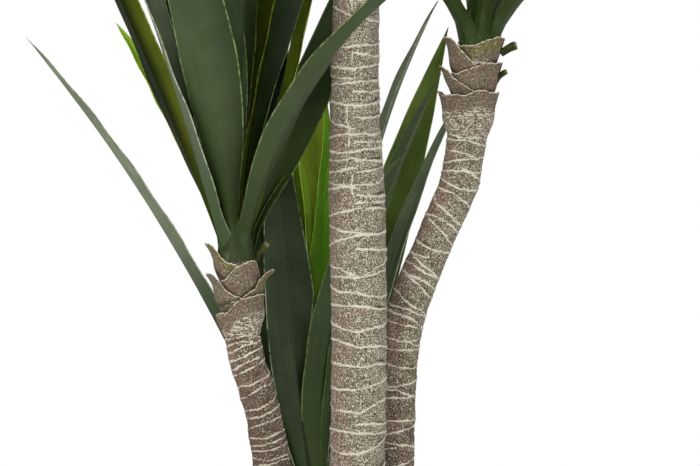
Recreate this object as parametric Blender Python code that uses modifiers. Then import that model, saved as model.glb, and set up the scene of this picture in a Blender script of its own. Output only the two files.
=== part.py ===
"""Potted artificial yucca: four bark-covered canes of unlike height in one plain filled pot, each with a
neck of cut leaf bases and a head of sword leaves. Metres, +Z up, origin under the middle of the pot."""

import math
import random
from typing import NamedTuple

import bmesh
import bpy
from mathutils import Vector
from mathutils.bvhtree import BVHTree

# Sizes that drive the rest, in metres
GAP = 0.0003
POT_HEIGHT = 0.190
POT_TOP_RADIUS = 0.108
POT_FOOT_RADIUS = 0.084
POT_WALL = 0.003
POT_LIP = 0.006
POT_LIP_DROP = 0.014
FILL_LEVEL = 0.1775
CANE_FOOT = FILL_LEVEL + GAP
FLARE_SHARE = 0.20
FLARE_HEIGHT = 0.022
CANE_STEP = 0.045
TIER_VALLEYS = (-0.070, -0.043, -0.016)
TIER_SKIRT = 0.016
TIER_WALL = 0.002
TIER_SWELL = 0.0016
LOBE_RISE = 0.031
LOBE_FLARE = 0.0085
LOBE_SHARPNESS = 2.4
LOBES = 4
FIRST_LOBE = 25.0
LOBE_TURN = 45.0
HUB_HEIGHT = 0.060
HUB_INSET = 0.0015
HUB_TOP_RADIUS = 0.006
ROOT_SINK = 0.005
LEAF_LENGTH = 0.540
LEAF_WIDTH = 0.056
LEAF_THICKNESS = 0.0056
LEAF_CLEARANCE = 0.0012
GOLDEN_ANGLE = 137.508

# Each cane from foot to neck: height, x and y of its middle, and radius
CANES = {
    "left": [
        (CANE_FOOT, -0.0420, -0.042, 0.0198),
        (0.380, -0.0520, -0.044, 0.0188),
        (0.530, -0.0680, -0.045, 0.0184),
        (0.604, -0.0770, -0.045, 0.0182),
        (0.660, -0.0868, -0.045, 0.0173),
        (0.715, -0.1030, -0.045, 0.0174),
        (0.760, -0.1090, -0.045, 0.0176),
        (0.804, -0.1122, -0.045, 0.0172),
    ],
    "centre": [
        (CANE_FOOT, 0.0040, 0.000, 0.0290),
        (0.520, 0.0060, 0.000, 0.0278),
        (0.720, 0.0090, 0.000, 0.0275),
        (0.870, 0.0070, 0.000, 0.0279),
        (0.945, 0.0050, 0.000, 0.0250),
        (1.044, 0.0058, 0.000, 0.0234),
        (1.240, 0.0120, 0.004, 0.0222),
    ],
    "right": [
        (CANE_FOOT, 0.0480, 0.046, 0.0220),
        (0.500, 0.0450, 0.045, 0.0206),
        (0.660, 0.0462, 0.045, 0.0202),
        (0.742, 0.0545, 0.045, 0.0202),
        (0.826, 0.0860, 0.045, 0.0190),
        (0.882, 0.1100, 0.045, 0.0198),
        (0.933, 0.1190, 0.045, 0.0200),
        (1.022, 0.1305, 0.045, 0.0196),
    ],
    "rear": [
        (CANE_FOOT, -0.0260, 0.055, 0.0196),
        (0.380, -0.0270, 0.078, 0.0182),
        (0.520, -0.0290, 0.100, 0.0176),
    ],
}


class Leaf(NamedTuple):
    """Where a leaf grows on its head and how it bends, in degrees and metres."""

    azimuth: float
    rise: float
    lean: float
    arch: float
    power: float
    sway: float
    length: float
    width: float = LEAF_WIDTH
    roll: float = 0.0
    twist: float = 0.0


# The leaves that show at the front of each head, and all of the low rear head, are set one by one.
# The rest follow the head's rule, outside the sector that the set ones fill.
HEADS = {
    "centre": {
        "seed": 47,
        "leaves": 23,
        "first": 10.0,
        "set_sector": None,
        "set_leaves": [],
    },
    "left": {
        "seed": 11,
        "leaves": 18,
        "first": 70.0,
        "set_sector": (160.0, 352.0),
        "set_leaves": [
            Leaf(191, 0.006, 16, 22, 1.3, -4, 0.52, 0.045, 30, -15),
            Leaf(144, 0.020, 23, 48, 1.4, -19, 0.28, 0.030, 3, -18),
            Leaf(204, 0.004, 13, 18, 1.3, -8, 0.52, 0.050, -12, -50),
            Leaf(261, 0.014, 10, 75, 1.3, -13, 0.54, 0.060, 10, -26),
            Leaf(57, 0.028, 23, 29, 1.2, 17, 0.52, 0.042, -28, 8),
            Leaf(42, 0.004, 26, 30, 1.3, 20, 0.50, 0.050, -18, -29),
            Leaf(318, 0.004, 18, 86, 1.0, 43, 0.55, 0.047, -26, 54),
            Leaf(46, 0.006, 32, 38, 1.3, 10, 0.52, 0.045, 40, 0),
            Leaf(51, 0.010, 38, 59, 1.2, 25, 0.55, 0.048, 14, -4),
        ],
    },
    "right": {
        "seed": 23,
        "leaves": 21,
        "first": 20.0,
        "set_sector": (205.0, 345.0),
        "set_leaves": [
            Leaf(226, 0.004, 37, 50, 1.3, 0, 0.52, 0.045, 35, 0),
            Leaf(270, 0.010, 7, 48, 1.2, 0, 0.52, 0.060),
            Leaf(326, 0.006, 30, 52, 1.2, -6, 0.52, 0.046, -40, -10),
            Leaf(245, 0.014, 9, 36, 1.2, 5, 0.52),
            Leaf(308, 0.016, 10, 40, 1.2, -5, 0.50),
        ],
    },
    "rear": {
        "seed": 31,
        "leaves": 0,
        "first": 0.0,
        "set_sector": None,
        "set_leaves": [
            Leaf(191, 0.006, 22, 40, 1.35, -24, 0.61, 0.050, 13, -2),
            Leaf(233, 0.004, 11, 16, 1.25, 31, 0.47, 0.058, 16, -7),
            Leaf(278, 0.012, 0, 58, 1.65, 45, 0.42, 0.060, 38, -8),
            Leaf(79, 0.040, 6, 10, 1.3, 6, 0.44, 0.055, 17, 48),
            Leaf(63, 0.025, 4, 14, 1.4, -1, 0.50, 0.042, -4, 6),
            Leaf(118, 0.030, 0, 17, 1.8, 0, 0.394, 0.054, 46, -8),
            Leaf(77, 0.017, 11, 16, 1.3, 18, 0.50, 0.042, -4, -24),
            Leaf(9, 0.011, 3, 29, 1.7, 5, 0.58, 0.047, 1, 10),
            Leaf(17, 0.029, 12, 26, 1.5, 29, 0.556, 0.060, 18, 46),
            Leaf(335, 0.009, 0, 37, 1.1, -13, 0.49, 0.042, -4, -5),
            Leaf(5, 0.010, 11, 26, 1.25, 5, 0.48, 0.046, 11, 18),
            Leaf(88, 0.020, 11, 63, 1.3, 11, 0.53, 0.056, -3, -13),
            Leaf(147, 0.029, 11, 34, 1.5, 12, 0.48, 0.056, -5, -14),
            Leaf(114, 0.042, 5, 14, 1.15, -9, 0.46, 0.056, 5, 21),
            Leaf(40, 0.026, 76, 124, 1.0, 4, 0.45, 0.050, 6, 10),
            Leaf(128, 0.028, 74, 122, 1.0, -6, 0.44, 0.050, -8, -12),
            Leaf(168, 0.024, 78, 126, 1.0, 5, 0.43, 0.048, 5, 8),
        ],
    },
}

# Share of the full width and angle of the folded halves, at shares of the leaf's length
LEAF_SHAPE = [
    (0.00, 0.36, 50.0),
    (0.085, 0.39, 38.0),
    (0.20, 0.80, 22.0),
    (0.42, 1.00, 14.0),
    (0.72, 0.66, 20.0),
    (1.00, 0.00, 30.0),
]

COLOURS = {
    "pot": ((0.035, 0.035, 0.038), 0.45),
    "fill": ((0.045, 0.034, 0.025), 0.95),
    "bark": ((0.28, 0.22, 0.185), 0.90),
    "husk": ((0.30, 0.24, 0.19), 0.85),
    "leaf": ((0.045, 0.095, 0.030), 0.42),
}


def mix(start, end, share):
    return start + (end - start) * share


def material(name):
    colour, roughness = COLOURS[name]
    made = bpy.data.materials.get(name)
    if made is None:
        made = bpy.data.materials.new(name)
        made.use_nodes = True
        shader = made.node_tree.nodes["Principled BSDF"]
        shader.inputs["Base Color"].default_value = (*colour, 1.0)
        shader.inputs["Roughness"].default_value = roughness
        shader.inputs["Metallic"].default_value = 0.0
    return made


def finish(obj, collection, slot):
    obj.data.materials.clear()
    obj.data.materials.append(material(slot))
    collection.objects.link(obj)
    return obj


def mesh_object(name, points, faces):
    """A closed mesh in plain triangles, so that a twisted blade's faces stay flat when it is fused."""
    mesh = bpy.data.meshes.new(name)
    mesh.from_pydata([tuple(p) for p in points], [], faces)
    shape = bmesh.new()
    shape.from_mesh(mesh)
    bmesh.ops.triangulate(shape, faces=shape.faces)
    bmesh.ops.recalc_face_normals(shape, faces=shape.faces)
    shape.to_mesh(mesh)
    shape.free()
    return bpy.data.objects.new(name, mesh)


def cane_at(name, height):
    """The middle and radius of a cane at a height, on a smooth curve through its own rows."""
    rows = CANES[name]
    k = next((i for i in range(len(rows) - 2) if height < rows[i + 1][0]), len(rows) - 2)

    def slopes(i):
        low, high = rows[max(i - 1, 0)], rows[min(i + 1, len(rows) - 1)]
        return [(b - a) / (high[0] - low[0]) for a, b in zip(low[1:], high[1:])]

    span = rows[k + 1][0] - rows[k][0]
    t = (height - rows[k][0]) / span
    starts = (2 * t**3 - 3 * t**2 + 1, (t**3 - 2 * t**2 + t) * span)
    ends = (3 * t**2 - 2 * t**3, (t**3 - t**2) * span)
    x, y, radius = (
        a * starts[0] + da * starts[1] + b * ends[0] + db * ends[1]
        for a, da, b, db in zip(rows[k][1:], slopes(k), rows[k + 1][1:], slopes(k + 1))
    )
    radius *= 1 + FLARE_SHARE * math.exp((CANE_FOOT - height) / FLARE_HEIGHT)
    return Vector((x, y, height)), radius


class Collar:
    """A place on a cane some way along from its top: the middle, radius, axis and directions round it."""

    def __init__(self, cane, along=0.0):
        height = CANES[cane][-1][0] + along
        self.middle, self.radius = cane_at(cane, height)
        above = cane_at(cane, min(height + 0.01, CANES[cane][-1][0]))[0]
        self.axis = (above - cane_at(cane, height - 0.01)[0]).normalized()
        self.across = (Vector((1, 0, 0)) - self.axis * self.axis.x).normalized()
        self.back = self.axis.cross(self.across)

    def out(self, azimuth):
        angle = math.radians(azimuth)
        return self.across * math.cos(angle) + self.back * math.sin(angle)


def turned(name, profile, steps):
    """A closed profile of (radius, height) points turned round the Z axis."""
    mesh = bpy.data.meshes.new(name)
    points = [(r, 0.0, z) for r, z in profile]
    edges = [(i, i + 1) for i in range(len(points) - 1)]
    mesh.from_pydata(points, edges, [])
    obj = bpy.data.objects.new(name, mesh)
    screw = obj.modifiers.new("turn", "SCREW")
    screw.axis = "Z"
    screw.steps = steps
    screw.render_steps = steps
    screw.use_merge_vertices = True
    screw.merge_threshold = 0.0001
    screw.use_smooth_shade = True
    return obj


def make_pot(collection):
    inner_foot = POT_FOOT_RADIUS - POT_WALL
    inner_top = POT_TOP_RADIUS - POT_WALL
    floor = 2 * POT_WALL
    lip = POT_TOP_RADIUS + POT_LIP
    profile = [
        (0.0, floor),
        (inner_foot, floor),
        (inner_top, POT_HEIGHT),
        (lip - 0.0025, POT_HEIGHT),
        (lip, POT_HEIGHT - 0.003),
        (lip, POT_HEIGHT - POT_LIP_DROP),
        (POT_TOP_RADIUS - 0.001, POT_HEIGHT - POT_LIP_DROP),
        (POT_FOOT_RADIUS, 0.003),
        (POT_FOOT_RADIUS - 0.003, 0.0),
        (0.0, 0.0),
    ]
    finish(turned("pot", profile, 32), collection, "pot")

    def fill_radius(height):
        share = (height - floor) / (POT_HEIGHT - floor)
        return mix(inner_foot, inner_top, share) - 2 * GAP

    low = floor + GAP
    filling = [
        (0.0, FILL_LEVEL),
        (fill_radius(FILL_LEVEL), FILL_LEVEL),
        (fill_radius(low), low),
        (0.0, low),
    ]
    finish(turned("fill", filling, 32), collection, "fill")


def make_cane(collection, name):
    """A tapered rod along the cane's curve, whose foot and top are flat cuts."""
    top = CANES[name][-1][0]
    flare = [CANE_FOOT + FLARE_HEIGHT * share for share in (0.0, 0.3, 0.9, 1.8)]
    steps = round((top - flare[-1]) / CANE_STEP)
    heights = flare[:-1] + [mix(flare[-1], top, i / steps) for i in range(steps + 1)]
    places = [cane_at(name, height) for height in heights]
    for middle, _ in places[:2]:
        middle.xy = places[1][0].xy
    curve = bpy.data.curves.new(name + "_cane", "CURVE")
    curve.dimensions = "3D"
    curve.bevel_depth = 1.0
    curve.bevel_resolution = 6
    curve.use_fill_caps = True
    line = curve.splines.new("POLY")
    line.points.add(len(places) - 1)
    for point, (middle, radius) in zip(line.points, places):
        point.co = (*middle, 1.0)
        point.radius = radius
    return finish(bpy.data.objects.new(name + "_cane", curve), collection, "bark")


def make_tier(collection, cane, number, sides=16):
    """One ring of cut leaf bases: a cup round the neck whose rim rises in flared lobes."""
    ring = Collar(cane, TIER_VALLEYS[number])
    turn = FIRST_LOBE + LOBE_TURN * number
    inner = ring.radius + 3 * GAP
    columns = []
    for side in range(sides):
        azimuth = 360.0 * side / sides
        lobe = abs(math.cos(math.radians((azimuth - turn) * LOBES / 2))) ** LOBE_SHARPNESS
        levels = [
            (-TIER_SKIRT, 0.0),
            (0.0, TIER_SWELL),
            (TIER_WALL + LOBE_RISE * lobe, TIER_SWELL + LOBE_FLARE * lobe),
        ]
        column = [(inner + spread + TIER_WALL, level) for level, spread in levels]
        column += [(inner + spread, level) for level, spread in reversed(levels)]
        out = ring.out(azimuth)
        columns.append([ring.middle + out * r + ring.axis * z for r, z in column])
    size = len(columns[0])
    faces = []
    for side in range(sides):
        low, high = side * size, (side + 1) % sides * size
        for i in range(size):
            j = (i + 1) % size
            faces.append((low + i, high + i, high + j, low + j))
    tier = mesh_object(f"{cane}_leaf_bases_{number + 1}", sum(columns, []), faces)
    return finish(tier, collection, "husk")


def hub_radius(neck, rise):
    """The hub is a cone that carries the leaves' roots."""
    return mix(neck.radius - HUB_INSET, HUB_TOP_RADIUS, rise / HUB_HEIGHT)


def heading(neck, leaf, share):
    """The way a leaf's middle line runs at a share of its length, and the way across it."""
    turn = leaf.azimuth + leaf.sway * share
    angle = math.radians(mix(leaf.lean, leaf.arch, share**leaf.power))
    tangent = neck.axis * math.cos(angle) + neck.out(turn) * math.sin(angle)
    return tangent, neck.out(turn + 90.0)


def leaf_line(neck, leaf, shares, steps=4):
    """Points down a leaf's middle, each with the directions across it and up from its face."""
    place = neck.middle + neck.axis * leaf.rise
    place = place + neck.out(leaf.azimuth) * (hub_radius(neck, leaf.rise) - ROOT_SINK)
    line = []
    for before, share in zip([0.0, *shares], shares):
        for k in range(steps):
            run = heading(neck, leaf, mix(before, share, (k + 0.5) / steps))[0]
            place = place + run * leaf.length * (share - before) / steps
        tangent, wide = heading(neck, leaf, share)
        angle = math.radians(leaf.roll + leaf.twist * share)
        across = wide * math.cos(angle) + tangent.cross(wide) * math.sin(angle)
        line.append((place, across, tangent.cross(across)))
    return line


def leaf_body(neck, leaf, grown=0.0):
    """Points and faces of one leaf: a folded blade, closed at its root and drawn to a point at its tip."""
    points, faces = [], []
    line = leaf_line(neck, leaf, [row[0] for row in LEAF_SHAPE])
    thick = max(LEAF_THICKNESS, leaf.length / 100) + 2 * grown
    for (middle, across, up), (_, part, fold) in zip(line[:-1], LEAF_SHAPE):
        half = leaf.width * part / 2 + grown
        lift = up * half * math.sin(math.radians(fold))
        spread = across * half * math.cos(math.radians(fold))
        points += [
            middle + spread + lift,
            middle + up * thick * 0.45,
            middle - spread + lift,
            middle - up * thick * 0.55,
        ]
    tip = len(points)
    points.append(line[-1][0])
    faces.append((0, 1, 2, 3))
    for low in range(0, tip, 4):
        for i in range(4):
            j = (i + 1) % 4
            if low + 4 < tip:
                faces.append((low + i, low + j, low + 4 + j, low + 4 + i))
            else:
                faces.append((low + i, low + j, tip))
    return points, faces


def ruled_leaf(dice, azimuth, share):
    """A leaf by its share of the way in, from the lowest and most arched to the upright heart."""
    return Leaf(
        azimuth=azimuth + dice.uniform(-7, 7),
        rise=mix(0.012, 0.048, share),
        lean=mix(15, 3, share) + dice.uniform(-2, 2),
        arch=mix(76, 12, share) + dice.uniform(-8, 8),
        power=dice.uniform(1.1, 1.5),
        sway=dice.uniform(-12, 12),
        length=LEAF_LENGTH * mix(1.0, 0.86, share) * dice.uniform(0.93, 1.04),
        roll=dice.uniform(-12, 12),
        twist=dice.uniform(-22, 22),
    )


def in_sector(azimuth, sector):
    return sector is not None and (azimuth - sector[0]) % 360.0 < sector[1] - sector[0]


def tree_of(obj):
    graph = bpy.context.evaluated_depsgraph_get()
    shown = obj.evaluated_get(graph)
    mesh = shown.to_mesh()
    tree = BVHTree.FromPolygons(
        [obj.matrix_world @ v.co for v in mesh.vertices], [tuple(p.vertices) for p in mesh.polygons]
    )
    shown.to_mesh_clear()
    return tree


def plan_leaves(solids):
    """Each head's leaves. A ruled leaf that would touch a limb or another head is bent away or skipped."""
    necks = {name: Collar(name) for name in HEADS}
    plans = {name: list(head["set_leaves"]) for name, head in HEADS.items()}
    limbs = [tree_of(obj) for obj in solids]
    blades = {
        name: [BVHTree.FromPolygons(*leaf_body(necks[name], leaf)) for leaf in plan]
        for name, plan in plans.items()
    }

    def touches(name, leaf):
        tree = BVHTree.FromPolygons(*leaf_body(necks[name], leaf, LEAF_CLEARANCE))
        others = [blade for head in blades if head != name for blade in blades[head]]
        return any(tree.overlap(other) for other in limbs + others)

    for name, head in HEADS.items():
        dice = random.Random(head["seed"])
        for i in range(head["leaves"]):
            share = i / (head["leaves"] - 1)
            azimuth = (head["first"] + i * GOLDEN_ANGLE) % 360.0
            leaf = ruled_leaf(dice, azimuth, share)
            if in_sector(azimuth, head["set_sector"]) and share < 0.8:
                continue
            for _ in range(16):
                if not touches(name, leaf):
                    plans[name].append(leaf)
                    blades[name].append(BVHTree.FromPolygons(*leaf_body(necks[name], leaf)))
                    break
                leaf = leaf._replace(
                    azimuth=leaf.azimuth + dice.uniform(-16, 16),
                    lean=max(1.0, leaf.lean + dice.uniform(-3, 3)),
                    arch=leaf.arch + dice.uniform(-14, 8),
                )
    return plans


def keep_largest_shell(mesh):
    """Leaves that crowd together seal small hollows. Their inner skins and any loose scrap are dropped."""
    shape = bmesh.new()
    shape.from_mesh(mesh)
    bmesh.ops.triangulate(shape, faces=shape.faces)
    left = set(shape.faces)
    shells = []
    while left:
        shell, rim = [], [left.pop()]
        while rim:
            face = rim.pop()
            shell.append(face)
            plain = [edge for edge in face.edges if len(edge.link_faces) == 2]
            near = {other for edge in plain for other in edge.link_faces} & left
            left -= near
            rim += near
        shells.append(shell)
    for shell in sorted(shells, key=len)[:-1]:
        bmesh.ops.delete(shape, geom=shell, context="FACES")
    shape.to_mesh(mesh)
    shape.free()


def make_head(collection, name, leaves, sides=12):
    """A tapered hub on the neck with its leaves sunk into it, fused into one solid."""
    neck = Collar(name)
    points = [
        neck.middle + neck.out(360.0 * i / sides) * hub_radius(neck, rise) + neck.axis * rise
        for rise in (GAP, HUB_HEIGHT)
        for i in range(sides)
    ]
    faces = [tuple(range(sides)), tuple(range(sides, 2 * sides))]
    for i in range(sides):
        j = (i + 1) % sides
        faces.append((i, j, sides + j, sides + i))
    head = mesh_object(f"{name}_head_leaves", points, faces)
    blades = bpy.data.collections.new(name + "_blades")
    bpy.context.scene.collection.children.link(blades)
    for number, leaf in enumerate(leaves):
        blades.objects.link(mesh_object(f"{name}_blade_{number}", *leaf_body(neck, leaf)))
    finish(head, collection, "leaf")
    union = head.modifiers.new("fuse", "BOOLEAN")
    union.operation = "UNION"
    union.operand_type = "COLLECTION"
    union.collection = blades
    union.solver = "MANIFOLD"
    graph = bpy.context.evaluated_depsgraph_get()
    fused = bpy.data.meshes.new_from_object(head.evaluated_get(graph))
    head.modifiers.remove(union)
    head.data = fused
    keep_largest_shell(fused)
    for blade in list(blades.objects):
        bpy.data.objects.remove(blade)
    bpy.data.collections.remove(blades)
    return head


def build():
    for obj in list(bpy.data.objects):
        bpy.data.objects.remove(obj)
    collection = bpy.data.collections.new("artificial_yucca")
    bpy.context.scene.collection.children.link(collection)
    make_pot(collection)
    limbs = []
    for name in CANES:
        limbs.append(make_cane(collection, name))
        limbs += [make_tier(collection, name, number) for number in range(len(TIER_VALLEYS))]
    for name, leaves in plan_leaves(limbs).items():
        make_head(collection, name, leaves)


build()
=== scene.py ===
import math
import random

import bmesh
import bpy
import numpy as np
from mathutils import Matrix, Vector
from mathutils.bvhtree import BVHTree


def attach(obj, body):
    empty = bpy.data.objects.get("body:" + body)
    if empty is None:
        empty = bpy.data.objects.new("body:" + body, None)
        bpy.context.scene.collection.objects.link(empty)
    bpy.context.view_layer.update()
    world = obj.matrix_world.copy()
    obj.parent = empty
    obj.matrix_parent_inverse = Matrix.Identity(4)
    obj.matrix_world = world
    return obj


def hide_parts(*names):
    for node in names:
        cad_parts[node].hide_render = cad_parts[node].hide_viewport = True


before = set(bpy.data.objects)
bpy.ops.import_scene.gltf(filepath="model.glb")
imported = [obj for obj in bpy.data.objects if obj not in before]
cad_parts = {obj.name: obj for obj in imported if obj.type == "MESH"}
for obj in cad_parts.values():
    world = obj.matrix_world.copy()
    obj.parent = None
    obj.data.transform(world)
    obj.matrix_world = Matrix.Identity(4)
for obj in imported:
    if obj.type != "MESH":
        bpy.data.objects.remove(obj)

scene = bpy.context.scene
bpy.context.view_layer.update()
print("frame loaded:", len(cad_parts), "nodes")


# View and light

cameraSettings = {
    "distance": 3.0,  # metres from the middle cane
    "height": 0.833,
    "seenWidth": 0.700,  # metres across the picture at the middle cane
    "sensor": 36.0,
}

lightSettings = {
    "ambient": 0.50,
    "ambientTop": 0.90,
    "backdrop": 1.0,
    "lamps": [  # name, place, aimed at, width, watts
        ("keyPanel", (-1.9, -2.3, 2.5), (0.0, 0.0, 0.95), 1.6, 40.0),
        ("fillPanel", (2.3, -2.4, 1.4), (0.05, 0.0, 0.85), 1.8, 14.0),
        ("frontPanel", (0.0, -3.3, 1.05), (0.0, 0.0, 0.85), 1.0, 22.0),
        ("backPanel", (1.0, 2.6, 2.4), (0.0, 0.0, 0.9), 1.4, 26.0),
    ],
}

floorSettings = {
    "size": 11.0,
    "drop": 0.0006,  # below the pot's foot
    "roughness": 0.9,
    "cloud": 3.0,
    "shades": ((0.80, 0.80, 0.80), (0.83, 0.83, 0.83)),
}


def makeCamera():
    data = bpy.data.cameras.new("camera")
    data.sensor_width = cameraSettings["sensor"]
    data.sensor_fit = "HORIZONTAL"
    data.lens = cameraSettings["sensor"] * cameraSettings["distance"] / cameraSettings["seenWidth"]
    camera = bpy.data.objects.new("camera", data)
    camera.location = (0.0, -cameraSettings["distance"], cameraSettings["height"])
    camera.rotation_euler = (math.radians(90), 0.0, 0.0)
    scene.collection.objects.link(camera)
    scene.camera = camera


def makeLamps():
    for name, place, target, width, watts in lightSettings["lamps"]:
        data = bpy.data.lights.new(name, "AREA")
        data.shape = "DISK"
        data.size = width
        data.energy = watts
        lamp = bpy.data.objects.new(name, data)
        lamp.location = place
        lamp.rotation_euler = (Vector(target) - Vector(place)).to_track_quat("-Z", "Y").to_euler()
        scene.collection.objects.link(lamp)


def makeWorld():
    # a white backdrop, and a softer room that is brighter above
    world = bpy.data.worlds.new("studio")
    scene.world = world
    world.use_nodes = True
    tree = world.node_tree
    tree.nodes.clear()
    out = tree.nodes.new("ShaderNodeOutputWorld")
    choose = tree.nodes.new("ShaderNodeMixShader")
    path = tree.nodes.new("ShaderNodeLightPath")
    room = tree.nodes.new("ShaderNodeBackground")
    white = tree.nodes.new("ShaderNodeBackground")
    white.inputs["Strength"].default_value = lightSettings["backdrop"]
    white.inputs["Color"].default_value = (1, 1, 1, 1)
    place = tree.nodes.new("ShaderNodeTexCoord")
    split = tree.nodes.new("ShaderNodeSeparateXYZ")
    rise = tree.nodes.new("ShaderNodeMapRange")
    rise.inputs["From Min"].default_value = -1.0
    rise.inputs["From Max"].default_value = 1.0
    rise.inputs["To Min"].default_value = lightSettings["ambient"]
    rise.inputs["To Max"].default_value = lightSettings["ambientTop"]
    tree.links.new(place.outputs["Generated"], split.inputs[0])
    tree.links.new(split.outputs["Z"], rise.inputs["Value"])
    tree.links.new(rise.outputs["Result"], room.inputs["Strength"])
    tree.links.new(path.outputs["Is Camera Ray"], choose.inputs["Fac"])
    tree.links.new(room.outputs[0], choose.inputs[1])
    tree.links.new(white.outputs[0], choose.inputs[2])
    tree.links.new(choose.outputs[0], out.inputs["Surface"])


# Helpers that every finish and every piece uses

softEdge = (0.36, 0.64)  # where an even noise passes from one colour to the other


class Finish:
    # a material with short ways to add and join its nodes
    def __init__(self, name, roughness, gloss=0.5):
        self.material = bpy.data.materials.new(name)
        self.material.use_nodes = True
        self.tree = self.material.node_tree
        self.shader = self.tree.nodes["Principled BSDF"]
        self.shader.inputs["Roughness"].default_value = roughness
        self.shader.inputs["Specular IOR Level"].default_value = gloss
        self.place = self.tree.nodes.new("ShaderNodeTexCoord").outputs["Object"]

    def feed(self, socket, value):
        if isinstance(value, bpy.types.NodeSocket):
            self.tree.links.new(value, socket)
        else:
            socket.default_value = value

    def noise(self, scale, detail, roughness, stretch=(1, 1, 1), place=None, distortion=0.0):
        node = self.tree.nodes.new("ShaderNodeTexNoise")
        node.inputs["Scale"].default_value = scale
        node.inputs["Detail"].default_value = detail
        node.inputs["Roughness"].default_value = roughness
        node.inputs["Distortion"].default_value = distortion
        spread = self.tree.nodes.new("ShaderNodeMapping")
        spread.inputs["Scale"].default_value = stretch
        self.tree.links.new(place or self.place, spread.inputs["Vector"])
        self.tree.links.new(spread.outputs[0], node.inputs["Vector"])
        return node.outputs["Fac"]

    def fit(self, value, low, high, toLow=0.0, toHigh=1.0):
        # reads a value between low and high as one between toLow and toHigh, with eased ends
        node = self.tree.nodes.new("ShaderNodeMapRange")
        node.interpolation_type = "SMOOTHSTEP"
        self.feed(node.inputs["Value"], value)
        node.inputs["From Min"].default_value = low
        node.inputs["From Max"].default_value = high
        node.inputs["To Min"].default_value = toLow
        node.inputs["To Max"].default_value = toHigh
        return node.outputs["Result"]

    def join(self, kind, first, second):
        node = self.tree.nodes.new("ShaderNodeMath")
        node.operation = kind
        self.feed(node.inputs[0], first)
        self.feed(node.inputs[1], second)
        return node.outputs[0]

    def plus(self, first, second):
        return self.join("ADD", first, second)

    def minus(self, first, second):
        return self.join("SUBTRACT", first, second)

    def times(self, first, second):
        return self.join("MULTIPLY", first, second)

    def blend(self, share, first, second):
        node = self.tree.nodes.new("ShaderNodeMix")
        node.data_type = "RGBA"
        self.feed(node.inputs[0], share)
        for socket, colour in ((node.inputs[6], first), (node.inputs[7], second)):  # its two colours
            self.feed(socket, colour if isinstance(colour, bpy.types.NodeSocket) else (*colour, 1.0))
        return node.outputs[2]

    def drawn(self, name):
        # a value that the mesh carries at its points
        node = self.tree.nodes.new("ShaderNodeAttribute")
        node.attribute_name = name
        return node.outputs["Fac"]

    def leafMap(self):
        # the place on a blade, and its two parts: across the blade and along it
        node = self.tree.nodes.new("ShaderNodeUVMap")
        node.uv_map = "bladeMap"
        split = self.tree.nodes.new("ShaderNodeSeparateXYZ")
        self.tree.links.new(node.outputs[0], split.inputs[0])
        return node.outputs[0], split.outputs["X"], split.outputs["Y"]

    def bump(self, height, distance, strength):
        node = self.tree.nodes.new("ShaderNodeBump")
        node.inputs["Distance"].default_value = distance
        node.inputs["Strength"].default_value = strength
        self.feed(node.inputs["Height"], height)
        return node.outputs["Normal"]

    def done(self, colour, normal=None, roughness=None):
        self.tree.links.new(colour, self.shader.inputs["Base Color"])
        if normal:
            self.tree.links.new(normal, self.shader.inputs["Normal"])
        if roughness:
            self.tree.links.new(roughness, self.shader.inputs["Roughness"])
        return self.material


def shown(red, green, blue):
    # a colour as it is seen on a screen, 0 to 255, turned into the linear values that the nodes take
    return tuple(
        c / 3294.6 if c <= 10.31 else ((c / 255 + 0.055) / 1.055) ** 2.4 for c in (red, green, blue)
    )


def meshPiece(name, points, faces, materials, faceMaterial=None, uv=None, drawn=None, sharp=45.0):
    mesh = bpy.data.meshes.new(name)
    mesh.from_pydata(np.asarray(points, dtype=np.float32).tolist(), [], [tuple(f) for f in faces])
    for material in materials:
        mesh.materials.append(material)
    if faceMaterial is not None:
        mesh.polygons.foreach_set("material_index", np.asarray(faceMaterial, dtype=np.int32))
    if uv is not None:
        corner = np.empty(len(mesh.loops), dtype=np.int32)
        mesh.loops.foreach_get("vertex_index", corner)
        layer = mesh.uv_layers.new(name="bladeMap")
        layer.data.foreach_set("uv", np.asarray(uv, dtype=np.float32)[corner].ravel())
    for label, values in (drawn or {}).items():
        attribute = mesh.attributes.new(label, "FLOAT", "POINT")
        attribute.data.foreach_set("value", np.asarray(values, dtype=np.float32).ravel())
    mesh.shade_smooth()
    mesh.set_sharp_from_angle(angle=math.radians(sharp))
    obj = bpy.data.objects.new(name, mesh)
    scene.collection.objects.link(obj)
    return obj


def keep(piece, slot, *nodes):
    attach(piece, "root")
    if nodes:
        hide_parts(*nodes)


def gridFaces(rows, columns, start=0, closed=False, flip=False):
    # quads over a grid of points, row by row
    i, j = np.meshgrid(np.arange(rows - 1), np.arange(columns if closed else columns - 1), indexing="ij")
    i, j = i.ravel(), j.ravel()
    k = (j + 1) % columns
    low, high = i * columns, (i + 1) * columns
    quads = np.stack([low + j, low + k, high + k, high + j], 1) + start
    return quads[:, ::-1] if flip else quads


def tubeFaces(rows, columns):
    # the wall of a closed tube of points, with its foot and its top
    faces = [tuple(f) for f in gridFaces(rows, columns, closed=True)]
    faces.append(tuple(range(columns - 1, -1, -1)))
    faces.append(tuple(range((rows - 1) * columns, rows * columns)))
    return faces


def mix(start, end, share):
    return start + (end - start) * share


def anyPhase(dice):
    return dice.uniform(0, 6.3)


def easedRound(values, width):
    # a running mean over values that close round a cane
    padded = np.concatenate([values[-width:], values, values[:width]])
    return np.convolve(padded, np.ones(width) / width, mode="same")[width:-width]


# Canes: the same routes as in the source, under a bark with leaf-scar rings

footHeight = 0.1778

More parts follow.
